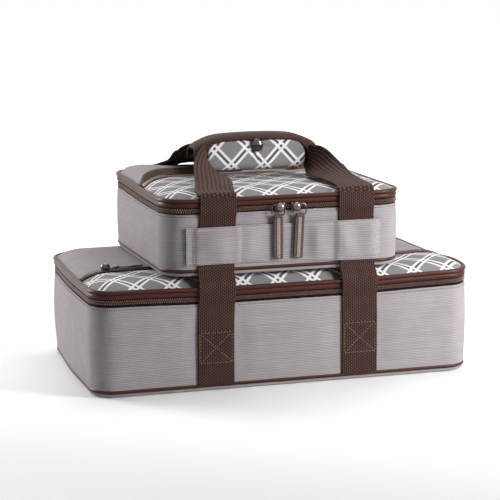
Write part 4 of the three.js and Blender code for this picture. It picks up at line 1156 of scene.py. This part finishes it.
def make_pocket(carrier):
    """Band, coil and piping bead along a pocket zip."""
    name, body = carrier.name, f"{carrier.name}_lid"
    reach, steps = carrier.half_x - 4.2 * MM, 90
    stops = [-reach + 2 * reach * step / steps for step in range(steps + 1)]
    outline = rows_from(0, (-6.6, -0.3), (-4.4, -0.5), (-1.9, -0.4), (-1.5, 0.1),
                        (-0.8, 0.5), (0, 0.6), (0.8, 0.5), (1.5, 0.1))
    outline += [(2 * MM + (carrier.band - 1.6 * MM) * step / 6, -0.1 * MM) for step in range(7)]

    def on_lid(x, back, up):
        y = carrier.pocket_line(x) + back
        return Vector((x, y, carrier.lid_height(x, y) + up))

    sections = []
    for x in stops:
        upper = [on_lid(x, back, up) for back, up in outline]
        sections.append(upper + [point - Vector((0, 0, 1.0 * MM)) for point in reversed(upper)])
    tape = sewn_through(f"{name}_pocket_band", sections)
    dress(tape, body, "Woven pocket band", [f"{name}_pocket_tape"])
    # The upper bead gets the lighter tan as a painted highlight; the lower bead keeps the brown trim
    bead, bead_cloth = (1.5, "Brown satin trim") if name == "lower" else (1.7, "Tan satin")
    for part, back, radius, material in (
            ("bead", -3.3, bead, bead_cloth), ("coil", 0.1, 1.5, "Black enamel")):
        points = [on_lid(x, back * MM, 0.1 * MM) for x in stops]
        dress(tube_through(f"{name}_pocket_{part}", points, radius * MM), body, material)


# Sliders and pulls

def slider_model():
    """Slider seen from the front: X runs along the zip and -Y faces out."""
    plate = block(in_mm(11, 1.5, 9.2), in_mm(0, -1.55, 0), taper=0.62, width=1.1 * MM, segments=4)
    return joined("slider", [plate, ball(in_mm(5, 4.2, 5), in_mm(0, -2.9, 0), 28, 16)])


def placed(piece, name, place):
    piece.data.transform(place)
    piece.data.update()
    piece.name = piece.data.name = name
    return piece


def rounded(value, power):
    """A sine or cosine raised to a power with its sign kept, which squares a round outline."""
    return math.copysign(abs(value) ** power, value)


def ring_points(width, above, below, steps=40):
    """A wire ring round X and Z, rounder at its top than at its foot."""
    points = []
    height = above + below
    for step in range(steps):
        turn = 2 * math.pi * step / steps
        power = 0.72 if math.sin(turn) > 0 else 0.55
        x, z = rounded(math.cos(turn), power), rounded(math.sin(turn), power)
        points.append(Vector((width / 2 * x, 0, above - height / 2 + height / 2 * z)))
    return points


def tab_piece(name, width, length, eye):
    """A folded ribbon that hangs from its eye at the origin."""
    stops = [(eye, 0.35), (eye * 0.75, 0.8), (0, 1.0), (-eye * 0.8, 0.8), (-eye * 1.6, 0.5), (-eye * 3, 0.44)]
    stops += [(-length + eye + up * MM, 0.44) for up in (30, 20, 12, 8, 4, 1.2)]
    stops += [(-length + eye, 0.3)]
    return strip_through(name, [
        (Vector((0, 0, z)), RIGHT, width, 2 * eye * share, 0.0) for z, share in stops])


def make_slider(carrier, which, side):
    """Slider, wire ring and ribbon tab of one zip end."""
    start = f"{carrier.name}_{which}"
    low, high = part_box(f"{start}_ring")
    slider_low, slider_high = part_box(f"{start}_slider")
    on_front = carrier.name == "upper"
    turn = Matrix.Rotation(0 if on_front else math.pi / 2, 4, "Z")
    middle = (slider_low + slider_high) / 2
    x, y = (middle.x, -carrier.half_y) if on_front else (carrier.half_x, middle.y)
    flip = Matrix.Rotation(0 if side > 0 else math.pi, 4, "Y")
    place = Matrix.Translation((x, y, carrier.chain)) @ turn @ flip
    slider = placed(slider_model(), f"{start}_zip_slider", place)
    dress(slider, f"{start}_slider", "Dark metal", [f"{start}_slider"])

    wire = 0.65 * MM
    pivot = (low + high) / 2
    pivot.z = high.z - wire
    place = Matrix.Translation(pivot) @ turn
    below = high.z - low.z - 2 * wire
    ring = tube_through("ring", ring_points(13.8 * MM, 2.6 * MM, below), wire, is_ring=True, sides=8)
    placed(ring, f"{start}_wire_ring", place)
    dress(ring, f"{start}_pull", "Bright wire", [f"{start}_ring"])

    lean = math.radians(3) if on_front and side > 0 else 0
    foot = place @ Matrix.Translation(Vector((0, 0, -below))) @ Matrix.Rotation(lean, 4, "Y")
    ribbon = placed(tab_piece("tab", 10.8 * MM, 47.5 * MM, 1.9 * MM), f"{start}_ribbon_tab", foot)
    dress(ribbon, f"{start}_pull", "Tab ribbon", [f"{start}_tab"])
    stations = [(Vector((0, -1.0 * MM, z * MM)), RIGHT, 3.9 * MM * w, 0.9 * MM, 0.0)
                for z, w in ((-2.2, 0.7), (-3, 1), (-15, 1), (-30, 1), (-42, 1), (-44.6, 0.8))]
    strip = placed(strip_through("strip", stations, 4), f"{start}_tab_plate", foot)
    dress(strip, f"{start}_pull", "Tab stripe")
    eyelet = placed(ball(in_mm(1.1, 0.495, 1.1), in_mm(0, -1.2, -40), 12, 8), f"{start}_tab_eyelet", foot)
    dress(eyelet, f"{start}_pull", "Dark metal")


def make_pocket_slider(carrier):
    """Small slider on a pocket zip, with its ring and knotted pull lying along the zip."""
    name = carrier.name
    low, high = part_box(f"{name}_pocket_slider")
    x, y, z = (low.x + high.x) / 2, (low.y + high.y) / 2, low.z
    x -= 5 * MM if name == "lower" else 0
    plate = block(in_mm(8, 6.6, 1.2), (x, y, z + 0.6 * MM), width=0.5 * MM, segments=3)
    knob = ball(in_mm(5.2, 4.4, 4.4), (x, y, z + 2.6 * MM), 24, 14)
    slider = joined(f"{name}_pocket_runner", [plate, knob])
    dress(slider, f"{name}_pocket_slider", "Black enamel", [f"{name}_pocket_slider"])

    pull_low, pull_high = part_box(f"{name}_pocket_pull")
    level = (pull_low.z + pull_high.z) / 2
    tilt = Matrix.Translation((x, y, level)) @ Matrix.Rotation(math.radians(12), 4, "Y")
    turns = [2 * math.pi * step / 28 for step in range(28)]
    loop = tube_through("loop", [
        tilt @ Vector((3.6 * MM + 4.4 * MM * math.cos(turn), 4.2 * MM * math.sin(turn), 0)) for turn in turns
    ], 0.75 * MM, is_ring=True, sides=8)
    cord_z = level - 0.2 * MM
    # Reach along the zip, fullness and sideways drift of the knotted cord
    rows = ((7.2, 1.2, 0.0), (9.0, 2.0, 0.3), (11, 2.9, 0.4), (13, 2.1, 0.2), (15, 1.3, 0.0),
            (21, 1.5, 0.3), (28, 1.6, -0.3), (36, 1.6, 0.0), (40, 1.8, 0.1), (41.5, 1.0, 0.0))
    stations = [
        (Vector((x + a * MM, y + c * MM, cord_z)), Vector((0, 1, 0)), 2.6 * b * MM, 1.15 * b * MM, 0.0)
        for a, b, c in rows]
    strip = strip_through("strip", stations, 4)
    apply_modifier(strip, "SUBSURF", levels=1, render_levels=1)
    pull = joined(f"{name}_pocket_pull_cord", [loop, strip])
    dress(pull, f"{name}_pocket_pull", "Black enamel", [f"{name}_pocket_pull"])


# Webbing

# Held ends of the handles: their depth off the grip's middle, their widths and the cup of the webbing
HELD_Y = 9.5 * MM
HELD_WIDTH = 20 * MM
STANDING_WIDTH = 28 * MM
HANDLE_CUP = 2.2 * MM
HANDLE_STEPS = 8


def webbing_width():
    low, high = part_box("front_right_sewn_strap")
    return high.x - low.x


def face_route(lower, upper, facing):
    """Way of the webbing up the face of both carriers."""
    flat = CLOTH_GAP + sewing().webbing_thick / 2
    proud = PIPING_STAND + flat
    piping_top = upper.base + 7.4 * MM
    low, high = lower.half_y, upper.half_y
    return [Vector((0, facing * depth, z)) for z, depth in (
        (lower.wall_top - 30 * MM, low + flat), (lower.wall_top - 12 * MM, low + flat),
        (lower.wall_top - 4 * MM, low + flat + 0.1 * MM), (lower.wall_top + 1 * MM, low + proud),
        (lower.lid_edge, low + proud), (upper.base + 2.4 * MM, high + proud), (piping_top, high + proud),
        (piping_top + 4 * MM, high + flat), (upper.wall_top - 4 * MM, high + flat),
        (upper.wall_top, high + proud), (upper.lid_edge, high + proud),
    )]


def make_face_straps():
    """Sewn feet and free lengths of the four straps."""
    lower, upper = carriers()
    thick, width = sewing().webbing_thick, webbing_width()
    for facing, face in FACES:
        for side, end in STRAP_SIDES:
            name = f"{face}_{end}"
            low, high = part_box(f"{name}_sewn_strap")
            x, y = strap_at(side, low.z), facing * (lower.half_y + CLOTH_GAP + thick / 2)
            top = high.z + 0.15 * MM
            foot = level_stations(
                [Vector((x, y, low.z + (top - low.z) * step / 12)) for step in range(13)], width, thick)
            dress(strip_through(f"{name}_sewn_webbing", foot, WEBBING_STEPS), "lower_tray", "Brown webbing",
                  [f"{name}_sewn_strap"])
            route = face_route(lower, upper, facing)
            route[0].z = top
            points = [Vector((strap_at(side, point.z), point.y, point.z)) for point in eased_curve(route, 60)]
            strap = strip_through(f"{name}_free_webbing", level_stations(points, width, thick), WEBBING_STEPS)
            dress(strap, None, "Brown webbing", [f"{name}_handle_strap"])
            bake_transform(strap)


def table_row(rows, place):
    """Row of a table at a place between two of its rows."""
    before = min(int(place), len(rows) - 2)
    return [a + (b - a) * (place - before) for a, b in zip(rows[before], rows[before + 1])]


def half_handle(upper, facing, side):
    """Stations of half a handle, from a strap over the lid and on edge into the grip."""
    thick, width = sewing().webbing_thick, webbing_width()
    proud = PIPING_STAND + CLOTH_GAP + thick / 2
    grip_low, grip_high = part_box("grip_wrap")
    stands_high = facing < 0 and side < 0
    shares = HANDLE_SHARES[facing]
    drop, held_width = (0, STANDING_WIDTH) if stands_high else (shape().handle_drop, HELD_WIDTH)
    held_z, reach = (grip_low.z + grip_high.z) / 2 - drop, grip_high.x
    face, over = upper.half_y, upper.lid_edge + 6 * MM
    start_x = abs(strap_at(side, upper.lid_edge))
    first = [(start_x, face + proud, upper.lid_edge), (start_x, face + proud / 2, over - 2 * MM),
             (start_x, face - 10 * MM, over + 0.3 * MM)]
    rest = [(start_x + (reach - start_x) * inwards, HELD_Y + (face - HELD_Y) * depth,
             over + (held_z - over) * rise) for inwards, depth, rise, _, _ in shares]
    points = [Vector((x, facing * y, z)) for x, y, z in first + rest]
    twists = [(0, 0)] * len(first) + [row[3:] for row in shares]
    curve = eased_curve(points, HANDLE_STEPS * (len(points) - 1))
    stations = []
    for step, (point, along) in enumerate(zip(curve, directions_along(curve))):
        share, narrowing = table_row(twists, step / HANDLE_STEPS)
        bank = smoothstep(share) * math.pi / 2
        local_width = width + (held_width - width) * narrowing
        level = Vector((along.y, -along.x, 0)).normalized() * -facing
        across = level * math.cos(bank) + Vector((0, 0, math.sin(bank)))
        cup = facing * -HANDLE_CUP * math.sin(math.pi * min(share, 1.0)) ** 2
        if abs(point.y) < face:
            hang = local_width / 2 * math.sin(bank)
            low = upper.lid_height(side * point.x, point.y) + thick / 2 + 0.8 * MM + hang
            clear = smoothstep(abs(point.y), HELD_Y + 4 * MM, HELD_Y + 30 * MM)
            point.z = max(point.z, point.z + (low - point.z) * clear)
        stations.append((point, across, local_width, thick, cup))
    mirror = Vector((side, 1, 1))
    return [(point * mirror, across * mirror, w, t, cup * side) for point, across, w, t, cup in stations]
    return [(point * mirror, across * mirror, w, t, cup * side) for point, across, w, t, cup in stations]


def make_handles():
    """The two handles, which stand on edge inside the padded grip, and the band along its top."""
    upper = carriers()[1]
    for facing, face in FACES:
        right, left = half_handle(upper, facing, 1), half_handle(upper, facing, -1)
        middle = [(right[-1][0].lerp(left[-1][0], share), *right[-1][1:]) for share in (0.25, 0.5, 0.75)]
        strip = strip_through(f"{face}_handle_webbing", right + middle + left[::-1], WEBBING_STEPS)
        dress(strip, None, "Brown webbing", [f"{face}_handle_loop"])
        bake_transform(strip)
    make_grip_band()


def make_grip_band():
    """Webbing along the top of the grip: it hangs a little over both sides and droops at both ends."""
    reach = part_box("grip_band")[1].x
    roll_low, roll_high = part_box("grip_wrap")
    centre_z, thick = (roll_low.z + roll_high.z) / 2, sewing().webbing_thick
    half_y, half_z = -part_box("grip_flap")[0].y + 0.7 * MM, roll_high.z - centre_z + 1.6 * MM
    # Share of the reach, drop in millimetres and share of the depth, from the middle to an end
    rows = [(0, -1.9, 1), (0.3, -1.5, 1), (0.5, -0.8, 1), (0.62, 0.2, 1), (0.7, 1.5, 1), (0.77, 3.2, 1),
            (0.83, 4.9, 1), (0.89, 6.8, 0.98), (0.95, 9.0, 0.92), (1.0, 12.0, 0.8)]
    stops = [(-out, drop, share) for out, drop, share in reversed(rows[1:])] + rows
    sections = []
    for out, drop, share in stops:
        drape = shape().band_drape + 0.15 * smoothstep(abs(out), 0.66, 0.86)
        outer, inner = [], []
        for step in range(21):
            turn = math.pi * (0.5 + drape * (step / 10 - 1)) - math.pi / 2
            y, z = rounded(math.sin(turn), 0.5), math.sqrt(abs(math.cos(turn)))
            for row, more in ((outer, thick), (inner, 0)):
                row.append(Vector((reach * out, share * (half_y + more) * y,
                                   centre_z + (half_z + more) * z - drop * MM)))
        sections.append(outer + inner[::-1])
    dress(turn_map(sewn_through("grip_band_webbing", sections)), "rear_loop", "Brown webbing",
          ["grip_band"])


# Grey bands: how much longer at the left, how much higher, and how far they sag towards the right
SLEEVE_EXTRA = 3.5 * MM
SLEEVE_RISE = 1.2 * MM
SLEEVE_SAG = 4 * MM


def sleeve_x(reach, step, steps):
    return -reach - SLEEVE_EXTRA + (2 * reach + SLEEVE_EXTRA) * step / steps


def sleeve_z(low, high, x, share):
    sag = SLEEVE_SAG * (1 - share) * smoothstep(x, -0.06, 0.1)
    return low.z + SLEEVE_RISE + (high.z - low.z) * share - sag


def make_sleeves():
    """Grey bands on the upper carrier that the straps run behind."""
    upper = carriers()[1]
    for facing, face in FACES:
        low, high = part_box(f"{face}_sleeve_band")
        reach = high.x
        columns, rows = 132, 14

        def out_at(x, share, sign=facing):
            strap = abs(abs(x) - abs(strap_at(1 if x > 0 else -1, low.z + 20 * MM)))
            raised = 1 - smoothstep(strap, 20.6 * MM, 27 * MM)
            waves = 0.5 + 0.5 * noise.noise(Vector((x * 48, sign * 3, share * 0.9)))
            loose = smoothstep(reach - abs(x), 0, 14 * MM) * smoothstep(abs(x), 20 * MM, 34 * MM)
            held = math.sin(math.pi * min(max(share, 0.0), 1.0)) ** 0.5
            return CLOTH_GAP + 1.9 * MM * raised + (0.4 * MM + shape().sleeve_waves * loose) * waves * held

        sections = []
        for column in range(columns + 1):
            x = sleeve_x(reach, column, columns)
            outer = [Vector((x, facing * (upper.half_y + out_at(x, row / rows) + 1.2 * MM),
                             sleeve_z(low, high, x, row / rows))) for row in range(rows + 1)]
            inner = [point - Vector((0, facing * 1.1 * MM, 0)) for point in reversed(outer)]
            sections.append(outer + inner)
        band = turn_map(sewn_through(f"{face}_sleeve_cloth", sections))
        dress(band, "upper_tray", "Grey ribbed cloth", [f"{face}_sleeve_band"])
        sew_sleeve(face, facing, upper, low, high, out_at)


def turn_map(piece):
    """Swaps a piece's map, so that ribs run along it."""
    for corner in piece.data.uv_layers.active.data:
        corner.uv = (corner.uv[1], corner.uv[0])
    return piece


def sew_sleeve(face, facing, upper, low, high, out_at):
    """Light stitches along the edges and ends of a sleeve band."""
    places = []
    reach = high.x - 2 * MM

    def point_on(x, share, z):
        return Vector((x, facing * (upper.half_y + out_at(x, share) + 1.35 * MM), z))

    def seam(points):
        places.extend(spaced_places(points, [Vector((0, facing, 0))] * len(points), sewing().stitch_pitch))

    for share in (0.065, 0.935):
        stops = [sleeve_x(reach, step, 120) for step in range(121)]
        seam([point_on(x, share, sleeve_z(low, high, x, share)) for x in stops])
    for x in (-reach - 3.7 * MM, -reach + 2.5 * MM, reach - 6 * MM, reach + 0.2 * MM):
        shares = [0.07 + 0.86 * step / 12 for step in range(13)]
        seam([point_on(x, share, low.z + (high.z - low.z) * share) for share in shares])
    dress(copied_along(f"{face}_sleeve_stitches", stitch_model(), places), "upper_tray", "Light thread")


def make_seams():
    """Dark stitches under the zips and tan crossed boxes on the straps."""
    for carrier in carriers():
        stops = carrier.zip_stops()
        outwards = [carrier.outward(stop) for stop in stops]
        points = [carrier.spot(stop, 0, carrier.wall_top - 2.2 * MM) for stop in stops]
        points = [point + outward * (carrier.wall_shift(point) + SEAM_LIFT)
                  for point, outward in zip(points, outwards)]
        places = spaced_places(points, outwards, sewing().stitch_pitch)
        seen = [place for place in places if not behind_strap(place.translation, carrier)]
        dress(copied_along(f"{carrier.name}_wall_stitches", stitch_model(), seen),
              f"{carrier.name}_tray", "Dark thread")
    lower = carriers()[0]
    for facing, face in FACES:
        places = []
        for side, _ in STRAP_SIDES:
            places += box_places(lower, facing, strap_at(side, 0))
        dress(copied_along(f"{face}_box_stitches", stitch_model(), places), "lower_tray", "Tan thread")


def behind_strap(point, carrier):
    on_face = abs(point.y) > carrier.half_y - 5 * MM
    return on_face and abs(abs(point.x) - strap_x()) < webbing_width() / 2 + 1 * MM


def box_places(lower, facing, x):
    """Places of the stitches of one crossed box."""
    s = sewing()
    y = facing * (lower.half_y + CLOTH_GAP + s.webbing_thick + SEAM_LIFT)
    half = webbing_width() / 2 - 2.6 * MM
    top, low = s.box_stitch_top, s.box_stitch_top - s.box_stitch_height
    corners = [Vector((x + a * half, y, z)) for a, z in ((-1, low), (1, low), (1, top), (-1, top))]
    places = []
    for first, last in ((0, 1), (1, 2), (2, 3), (3, 0), (0, 2), (1, 3)):
        ends = [corners[first], corners[last]]
        places += spaced_places(ends, [Vector((0, facing, 0))] * 2, s.stitch_pitch)
    return places


# Grip

# Rise of the snap over the grip's middle; the plane between flap and wrap, the gap there, and half the
# height and the depth of the slot that holds the webbing
SNAP_RISE = 11 * MM
SPLIT_Y = -11.95 * MM
SPLIT_GAP = 0.15 * MM
SLOT_HALF = 14.3 * MM
SLOT_DEEP = -8.4 * MM


def grip_draw(x, reach, rounding):
    """How far the roll is drawn in at x by its rounded end corners."""
    past = max(abs(x) - (reach - rounding), 0.0)
    return rounding - math.sqrt(max(rounding ** 2 - past ** 2, 0.0))


def grip_stops(reach):
    """Places along the grip, close together at its rounded ends."""
    rounding = 10 * MM
    right = [reach - rounding + rounding * math.sin(math.pi / 2 * step / 7) for step in range(8)]
    middle = [-reach + rounding + 2 * (reach - rounding) * step / 60 for step in range(61)]
    return [-x for x in reversed(right[1:])] + middle + right[1:]


def roll_outline(half_z, centre_z, half_y, x, reach):
    """Section of the padded roll at x, as a full turn from its front middle, over its top and back."""
    top_draw = grip_draw(x, reach, shape().grip_round) * 0.8
    end_draw = grip_draw(x, reach, 5 * MM)
    points = []
    for step in range(64):
        turn = 2 * math.pi * (step + 0.5) / 64
        y, z = rounded(math.cos(turn), 0.5), rounded(math.sin(turn), 0.5)
        draw = top_draw if z > 0 else end_draw
        pad = 0.35 * MM * noise.noise(Vector((x * 40, y * 1.5, z * 1.5)))
        if y > 0.5:
            # Seven creases run out from the snap
            rise = z * half_z - SNAP_RISE
            spread = math.cos(7 * math.atan2(x, rise))
            away = math.hypot(x, rise)
            pad -= 1.5 * MM * smoothstep(spread, 0.2, 1.0) * math.exp(-((away - 8 * MM) / (8 * MM)) ** 2)
        depth = half_y - end_draw * 0.8 + pad
        points.append(Vector((x, -y * depth, centre_z + z * (half_z - draw + pad))))
    return points


def make_grip():
    """Padded grip in two parts: the wrap, and the front flap that snaps shut."""
    wrap_low, wrap_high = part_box("grip_wrap")
    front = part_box("grip_flap")[0].y
    reach = wrap_high.x
    centre_z = (wrap_low.z + wrap_high.z) / 2
    flap_y, wrap_y = SPLIT_Y - SPLIT_GAP, SPLIT_Y + SPLIT_GAP
    slot = ((wrap_y, SLOT_HALF), (SLOT_DEEP, SLOT_HALF), (SLOT_DEEP, -SLOT_HALF), (wrap_y, -SLOT_HALF))
    flap_sections, wrap_sections = [], []
    for x in grip_stops(reach):
        outline = roll_outline(wrap_high.z - centre_z, centre_z, -front, x, reach)
        flap = [p for p in outline if p.y < flap_y]
        flap.sort(key=lambda p: math.atan2(p.z - centre_z, SPLIT_Y - p.y + 9 * MM))
        flap_sections.append(resampled(flap, 40, flap_y))
        wrap = [p for p in outline if p.y > wrap_y]
        wrap.sort(key=lambda p: math.atan2(p.z - centre_z, p.y))
        wrap_sections.append(resampled(wrap, 56, wrap_y) + [Vector((x, y, centre_z + up)) for y, up in slot])
    flap = sewn_through("grip_flap_pad", flap_sections)
    dress(turn_map(flap), "grip_flap", "Plaid, grip", ["grip_flap"])
    wrap = sewn_through("grip_wrap_pad", wrap_sections)
    dress(turn_map(wrap), "rear_loop", "Plaid, grip", ["grip_wrap"])
    make_snap(front)


def resampled(points, count, face_y):
    """Even points along the outside of a grip part, ended on its flat inner face."""
    first, last = (Vector((end.x, face_y, end.z)) for end in (points[0], points[-1]))
    ends = [first, *points, last]
    lengths = running_lengths(ends)
    reaches = [lengths[-1] * step / (count - 1) for step in range(count)]
    return [ends[index].lerp(ends[index + 1], share) for index, share in found_along(lengths, reaches)]


def make_snap(front):
    """Domed snap on the flap, spun from its profile."""
    low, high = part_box("grip_snap")
    x, z = (low.x + high.x) / 2, (low.z + high.z) / 2
    face = front - 0.2 * MM
    profile = [(0, 4.2), (4.4, 4.2), (4.4, 3.4), (1.5, 3.3), (1.5, 0.2), (6.6, 0.1), (7.0, -0.3),
               (7.0, -0.9), (6.6, -1.4), (5.6, -2.1), (4.2, -2.8), (2.4, -3.25), (0, -3.4)]
    turns = 40

    def place(column, row):
        turn = 2 * math.pi * (column % turns) / turns
        r, y = profile[row]
        point = Vector((x + r * MM * math.cos(turn), face + y * MM, z + r * MM * math.sin(turn)))
        return point, (column, row)

    snap = close_shell(cut_cloth("grip_snap_cap", turns, len(profile) - 1, place))
    dress(snap, "grip_flap", "Snap enamel", ["grip_snap"])


# Stage

def make_camera():
    s = stage_settings()
    turn, rise = s.camera_turn, s.camera_rise
    back = Vector((math.sin(turn) * math.cos(rise), -math.cos(turn) * math.cos(rise), math.sin(rise)))
    level = Vector((math.cos(turn), math.sin(turn), 0))
    up = back.cross(level)
    right = level * math.cos(s.camera_roll) + up * math.sin(s.camera_roll)
    up = up * math.cos(s.camera_roll) - level * math.sin(s.camera_roll)
    data = bpy.data.cameras.new("Camera")
    data.lens, data.sensor_width, data.sensor_fit = s.lens, 36, "HORIZONTAL"
    data.clip_start, data.clip_end = 0.05, 50
    camera = bpy.data.objects.new("Camera", data)
    bpy.context.collection.objects.link(camera)
    place = Matrix((right, up, back)).transposed().to_4x4()
    place.translation = Vector((s.aim_x, 0, s.aim_z)) + back * s.camera_away
    camera.matrix_world = place
    bpy.context.scene.camera = camera


def make_lamp(name, power, place, aim, size, spread=180):
    """A soft lamp. Its spread is in degrees."""
    data = bpy.data.lights.new(name, "AREA")
    data.energy, data.shape, data.spread = power, "RECTANGLE", math.radians(spread)
    data.size, data.size_y = size
    lamp = bpy.data.objects.new(name, data)
    lamp.location = place
    lamp.rotation_euler = (Vector(aim) - Vector(place)).to_track_quat("-Z", "Y").to_euler()
    bpy.context.collection.objects.link(lamp)


def make_sky():
    world = bpy.data.worlds.new("Studio")
    bpy.context.scene.world = world
    world.use_nodes = True
    tree = world.node_tree
    rays = node(tree, "ShaderNodeLightPath").outputs
    seen = maths(tree, "MAXIMUM", rays["Is Camera Ray"], rays["Is Glossy Ray"])
    strength = maths(tree, "MULTIPLY_ADD", seen, 1 - stage_settings().sky, stage_settings().sky)
    background = tree.nodes["Background"]
    background.inputs["Color"].default_value = (1, 1, 1, 1)
    tree.links.new(strength, background.inputs["Strength"])


def make_floor():
    """A wide pale floor that keeps the carrier's shadow."""
    s = stage_settings()
    bpy.ops.object.select_all(action="DESELECT")
    bpy.ops.mesh.primitive_grid_add(
        x_subdivisions=12, y_subdivisions=12, size=14, location=(0, 0, -0.3 * MM))
    floor = settled(bpy.context.object)
    floor.name = floor.data.name = "studio_floor"
    material, tree, shader = new_material("Studio floor", 0.9, specular_ior_level=0.1)
    coloured(tree, shader, noise_at(tree, in_space(tree, 30), 1.0), darker(s.floor, 0.99), s.floor)
    rays = node(tree, "ShaderNodeLightPath").outputs
    place = node(tree, "ShaderNodeTexCoord").outputs["Object"]
    away = node(tree, "ShaderNodeVectorMath", {0: place}, operation="LENGTH").outputs["Value"]
    whiter = node(tree, "ShaderNodeMapRange", {
        "Value": away, "From Min": 0.4, "From Max": 1.2, "To Min": s.floor_glow, "To Max": 1.0,
    }, interpolation_type="SMOOTHSTEP").outputs[0]
    seen = maths(tree, "MULTIPLY", rays["Is Camera Ray"], whiter)
    glow = node(tree, "ShaderNodeEmission", {"Color": (1, 1, 1, 1), "Strength": seen})
    both = node(tree, "ShaderNodeAddShader", {0: shader.outputs[0], 1: glow.outputs[0]})
    tree.links.new(both.outputs[0], tree.nodes["Material Output"].inputs["Surface"])
    floor.data.materials.append(material)


# Operators

class CARRIER_OT_stage(bpy.types.Operator):
    """Sets up the camera, the lamps and the pale floor"""

    bl_idname = "carrier.stage"
    bl_label = "Stage"

    def execute(self, context):
        s = stage_settings()
        context.scene.view_settings.view_transform = "Standard"
        make_camera()
        make_sky()
        make_lamp("Right lamp", s.key_power, (0.76, -0.72, 0.5), (0.14, 0, 0.1), (0.4, 0.6), spread=85)
        make_lamp("Left lamp", s.side_power, (-1.15, 0.9, 0.6), (-0.1, 0, 0.1), (0.7, 0.8))
        make_lamp("Top lamp", s.top_power, (0.1, 0.35, 1.35), (0, 0, 0.1), (1.0, 0.7))
        make_floor()
        return {"FINISHED"}


class CARRIER_OT_trays(bpy.types.Operator):
    """Sews the base cloths, base piping and side cloths"""

    bl_idname = "carrier.trays"
    bl_label = "Trays"

    def execute(self, context):
        for carrier in carriers():
            make_trays(carrier)
        return {"FINISHED"}


class CARRIER_OT_linings(bpy.types.Operator):
    """Lines both carriers with quilted foil"""

    bl_idname = "carrier.linings"
    bl_label = "Linings"

    def execute(self, context):
        for carrier in carriers():
            make_linings(carrier)
        return {"FINISHED"}


class CARRIER_OT_zips(bpy.types.Operator):
    """Makes the main zips, with their two rows of teeth"""

    bl_idname = "carrier.zips"
    bl_label = "Zips"

    def execute(self, context):
        for carrier in carriers():
            make_zip(carrier)
        return {"FINISHED"}


class CARRIER_OT_lid_edges(bpy.types.Operator):
    """Sews the gussets, the lid piping and the rear hinges"""

    bl_idname = "carrier.lid_edges"
    bl_label = "Lid edges"

    def execute(self, context):
        for carrier in carriers():
            make_lid_edge(carrier)
        return {"FINISHED"}


class CARRIER_OT_lid_panels(bpy.types.Operator):
    """Pads the plaid and grey panels of the lids"""

    bl_idname = "carrier.lid_panels"
    bl_label = "Lid panels"

    def execute(self, context):
        for carrier in carriers():
            make_lid_panels(carrier)
        return {"FINISHED"}


class CARRIER_OT_pockets(bpy.types.Operator):
    """Makes the pocket zips with their bands, beads and pulls"""

    bl_idname = "carrier.pockets"
    bl_label = "Pockets"

    def execute(self, context):
        for carrier in carriers():
            make_pocket(carrier)
            make_pocket_slider(carrier)
        return {"FINISHED"}


class CARRIER_OT_sliders(bpy.types.Operator):
    """Makes the four zip sliders with their rings and tabs"""

    bl_idname = "carrier.sliders"
    bl_label = "Sliders"

    def execute(self, context):
        lower, upper = carriers()
        make_slider(lower, "front", -1)
        make_slider(lower, "rear", 1)
        make_slider(upper, "left", -1)
        make_slider(upper, "right", 1)
        return {"FINISHED"}


class CARRIER_OT_straps(bpy.types.Operator):
    """Lays the webbing up the faces of both carriers"""

    bl_idname = "carrier.straps"
    bl_label = "Straps"

    def execute(self, context):
        make_face_straps()
        return {"FINISHED"}


class CARRIER_OT_handles(bpy.types.Operator):
    """Bends the two webbing handles up to the grip"""

    bl_idname = "carrier.handles"
    bl_label = "Handles"

    def execute(self, context):
        make_handles()
        return {"FINISHED"}


class CARRIER_OT_sleeves(bpy.types.Operator):
    """Sews the grey bands that the straps run behind"""

    bl_idname = "carrier.sleeves"
    bl_label = "Sleeves"

    def execute(self, context):
        make_sleeves()
        return {"FINISHED"}


class CARRIER_OT_grip(bpy.types.Operator):
    """Pads the grip and closes its flap with a snap"""

    bl_idname = "carrier.grip"
    bl_label = "Grip"

    def execute(self, context):
        make_grip()
        return {"FINISHED"}


class CARRIER_OT_seams(bpy.types.Operator):
    """Stitches the zips and the straps"""

    bl_idname = "carrier.seams"
    bl_label = "Seams"

    def execute(self, context):
        make_seams()
        return {"FINISHED"}


STEPS = (
    CARRIER_OT_stage, CARRIER_OT_trays, CARRIER_OT_linings, CARRIER_OT_zips, CARRIER_OT_lid_edges,
    CARRIER_OT_lid_panels, CARRIER_OT_pockets, CARRIER_OT_sliders, CARRIER_OT_straps,
    CARRIER_OT_handles, CARRIER_OT_sleeves, CARRIER_OT_grip, CARRIER_OT_seams,
)


class CARRIER_PT_panel(bpy.types.Panel):
    """Lists the steps and the settings"""

    bl_idname = "CARRIER_PT_panel"
    bl_label = "Casserole Carrier"
    bl_space_type = "VIEW_3D"
    bl_region_type = "UI"
    bl_category = "Carrier"

    def draw(self, context):
        for step in STEPS:
            self.layout.operator(step.bl_idname)
        for attribute, group in SETTING_GROUPS:
            box = self.layout.box()
            box.label(text=group.__doc__)
            for name in group.__annotations__:
                box.prop(getattr(context.scene, attribute), name)


def register():
    for attribute, group in SETTING_GROUPS:
        bpy.utils.register_class(group)
        setattr(bpy.types.Scene, attribute, bpy.props.PointerProperty(type=group))
    for step in STEPS:
        bpy.utils.register_class(step)
    bpy.utils.register_class(CARRIER_PT_panel)


def unregister():
    bpy.utils.unregister_class(CARRIER_PT_panel)
    for step in reversed(STEPS):
        bpy.utils.unregister_class(step)
    for attribute, group in reversed(SETTING_GROUPS):
        delattr(bpy.types.Scene, attribute)
        bpy.utils.unregister_class(group)


def main():
    register()
    make_groups()
    for step in STEPS:
        getattr(bpy.ops.carrier, step.bl_idname.removeprefix("carrier."))()


if __name__ == "__main__":
    main()
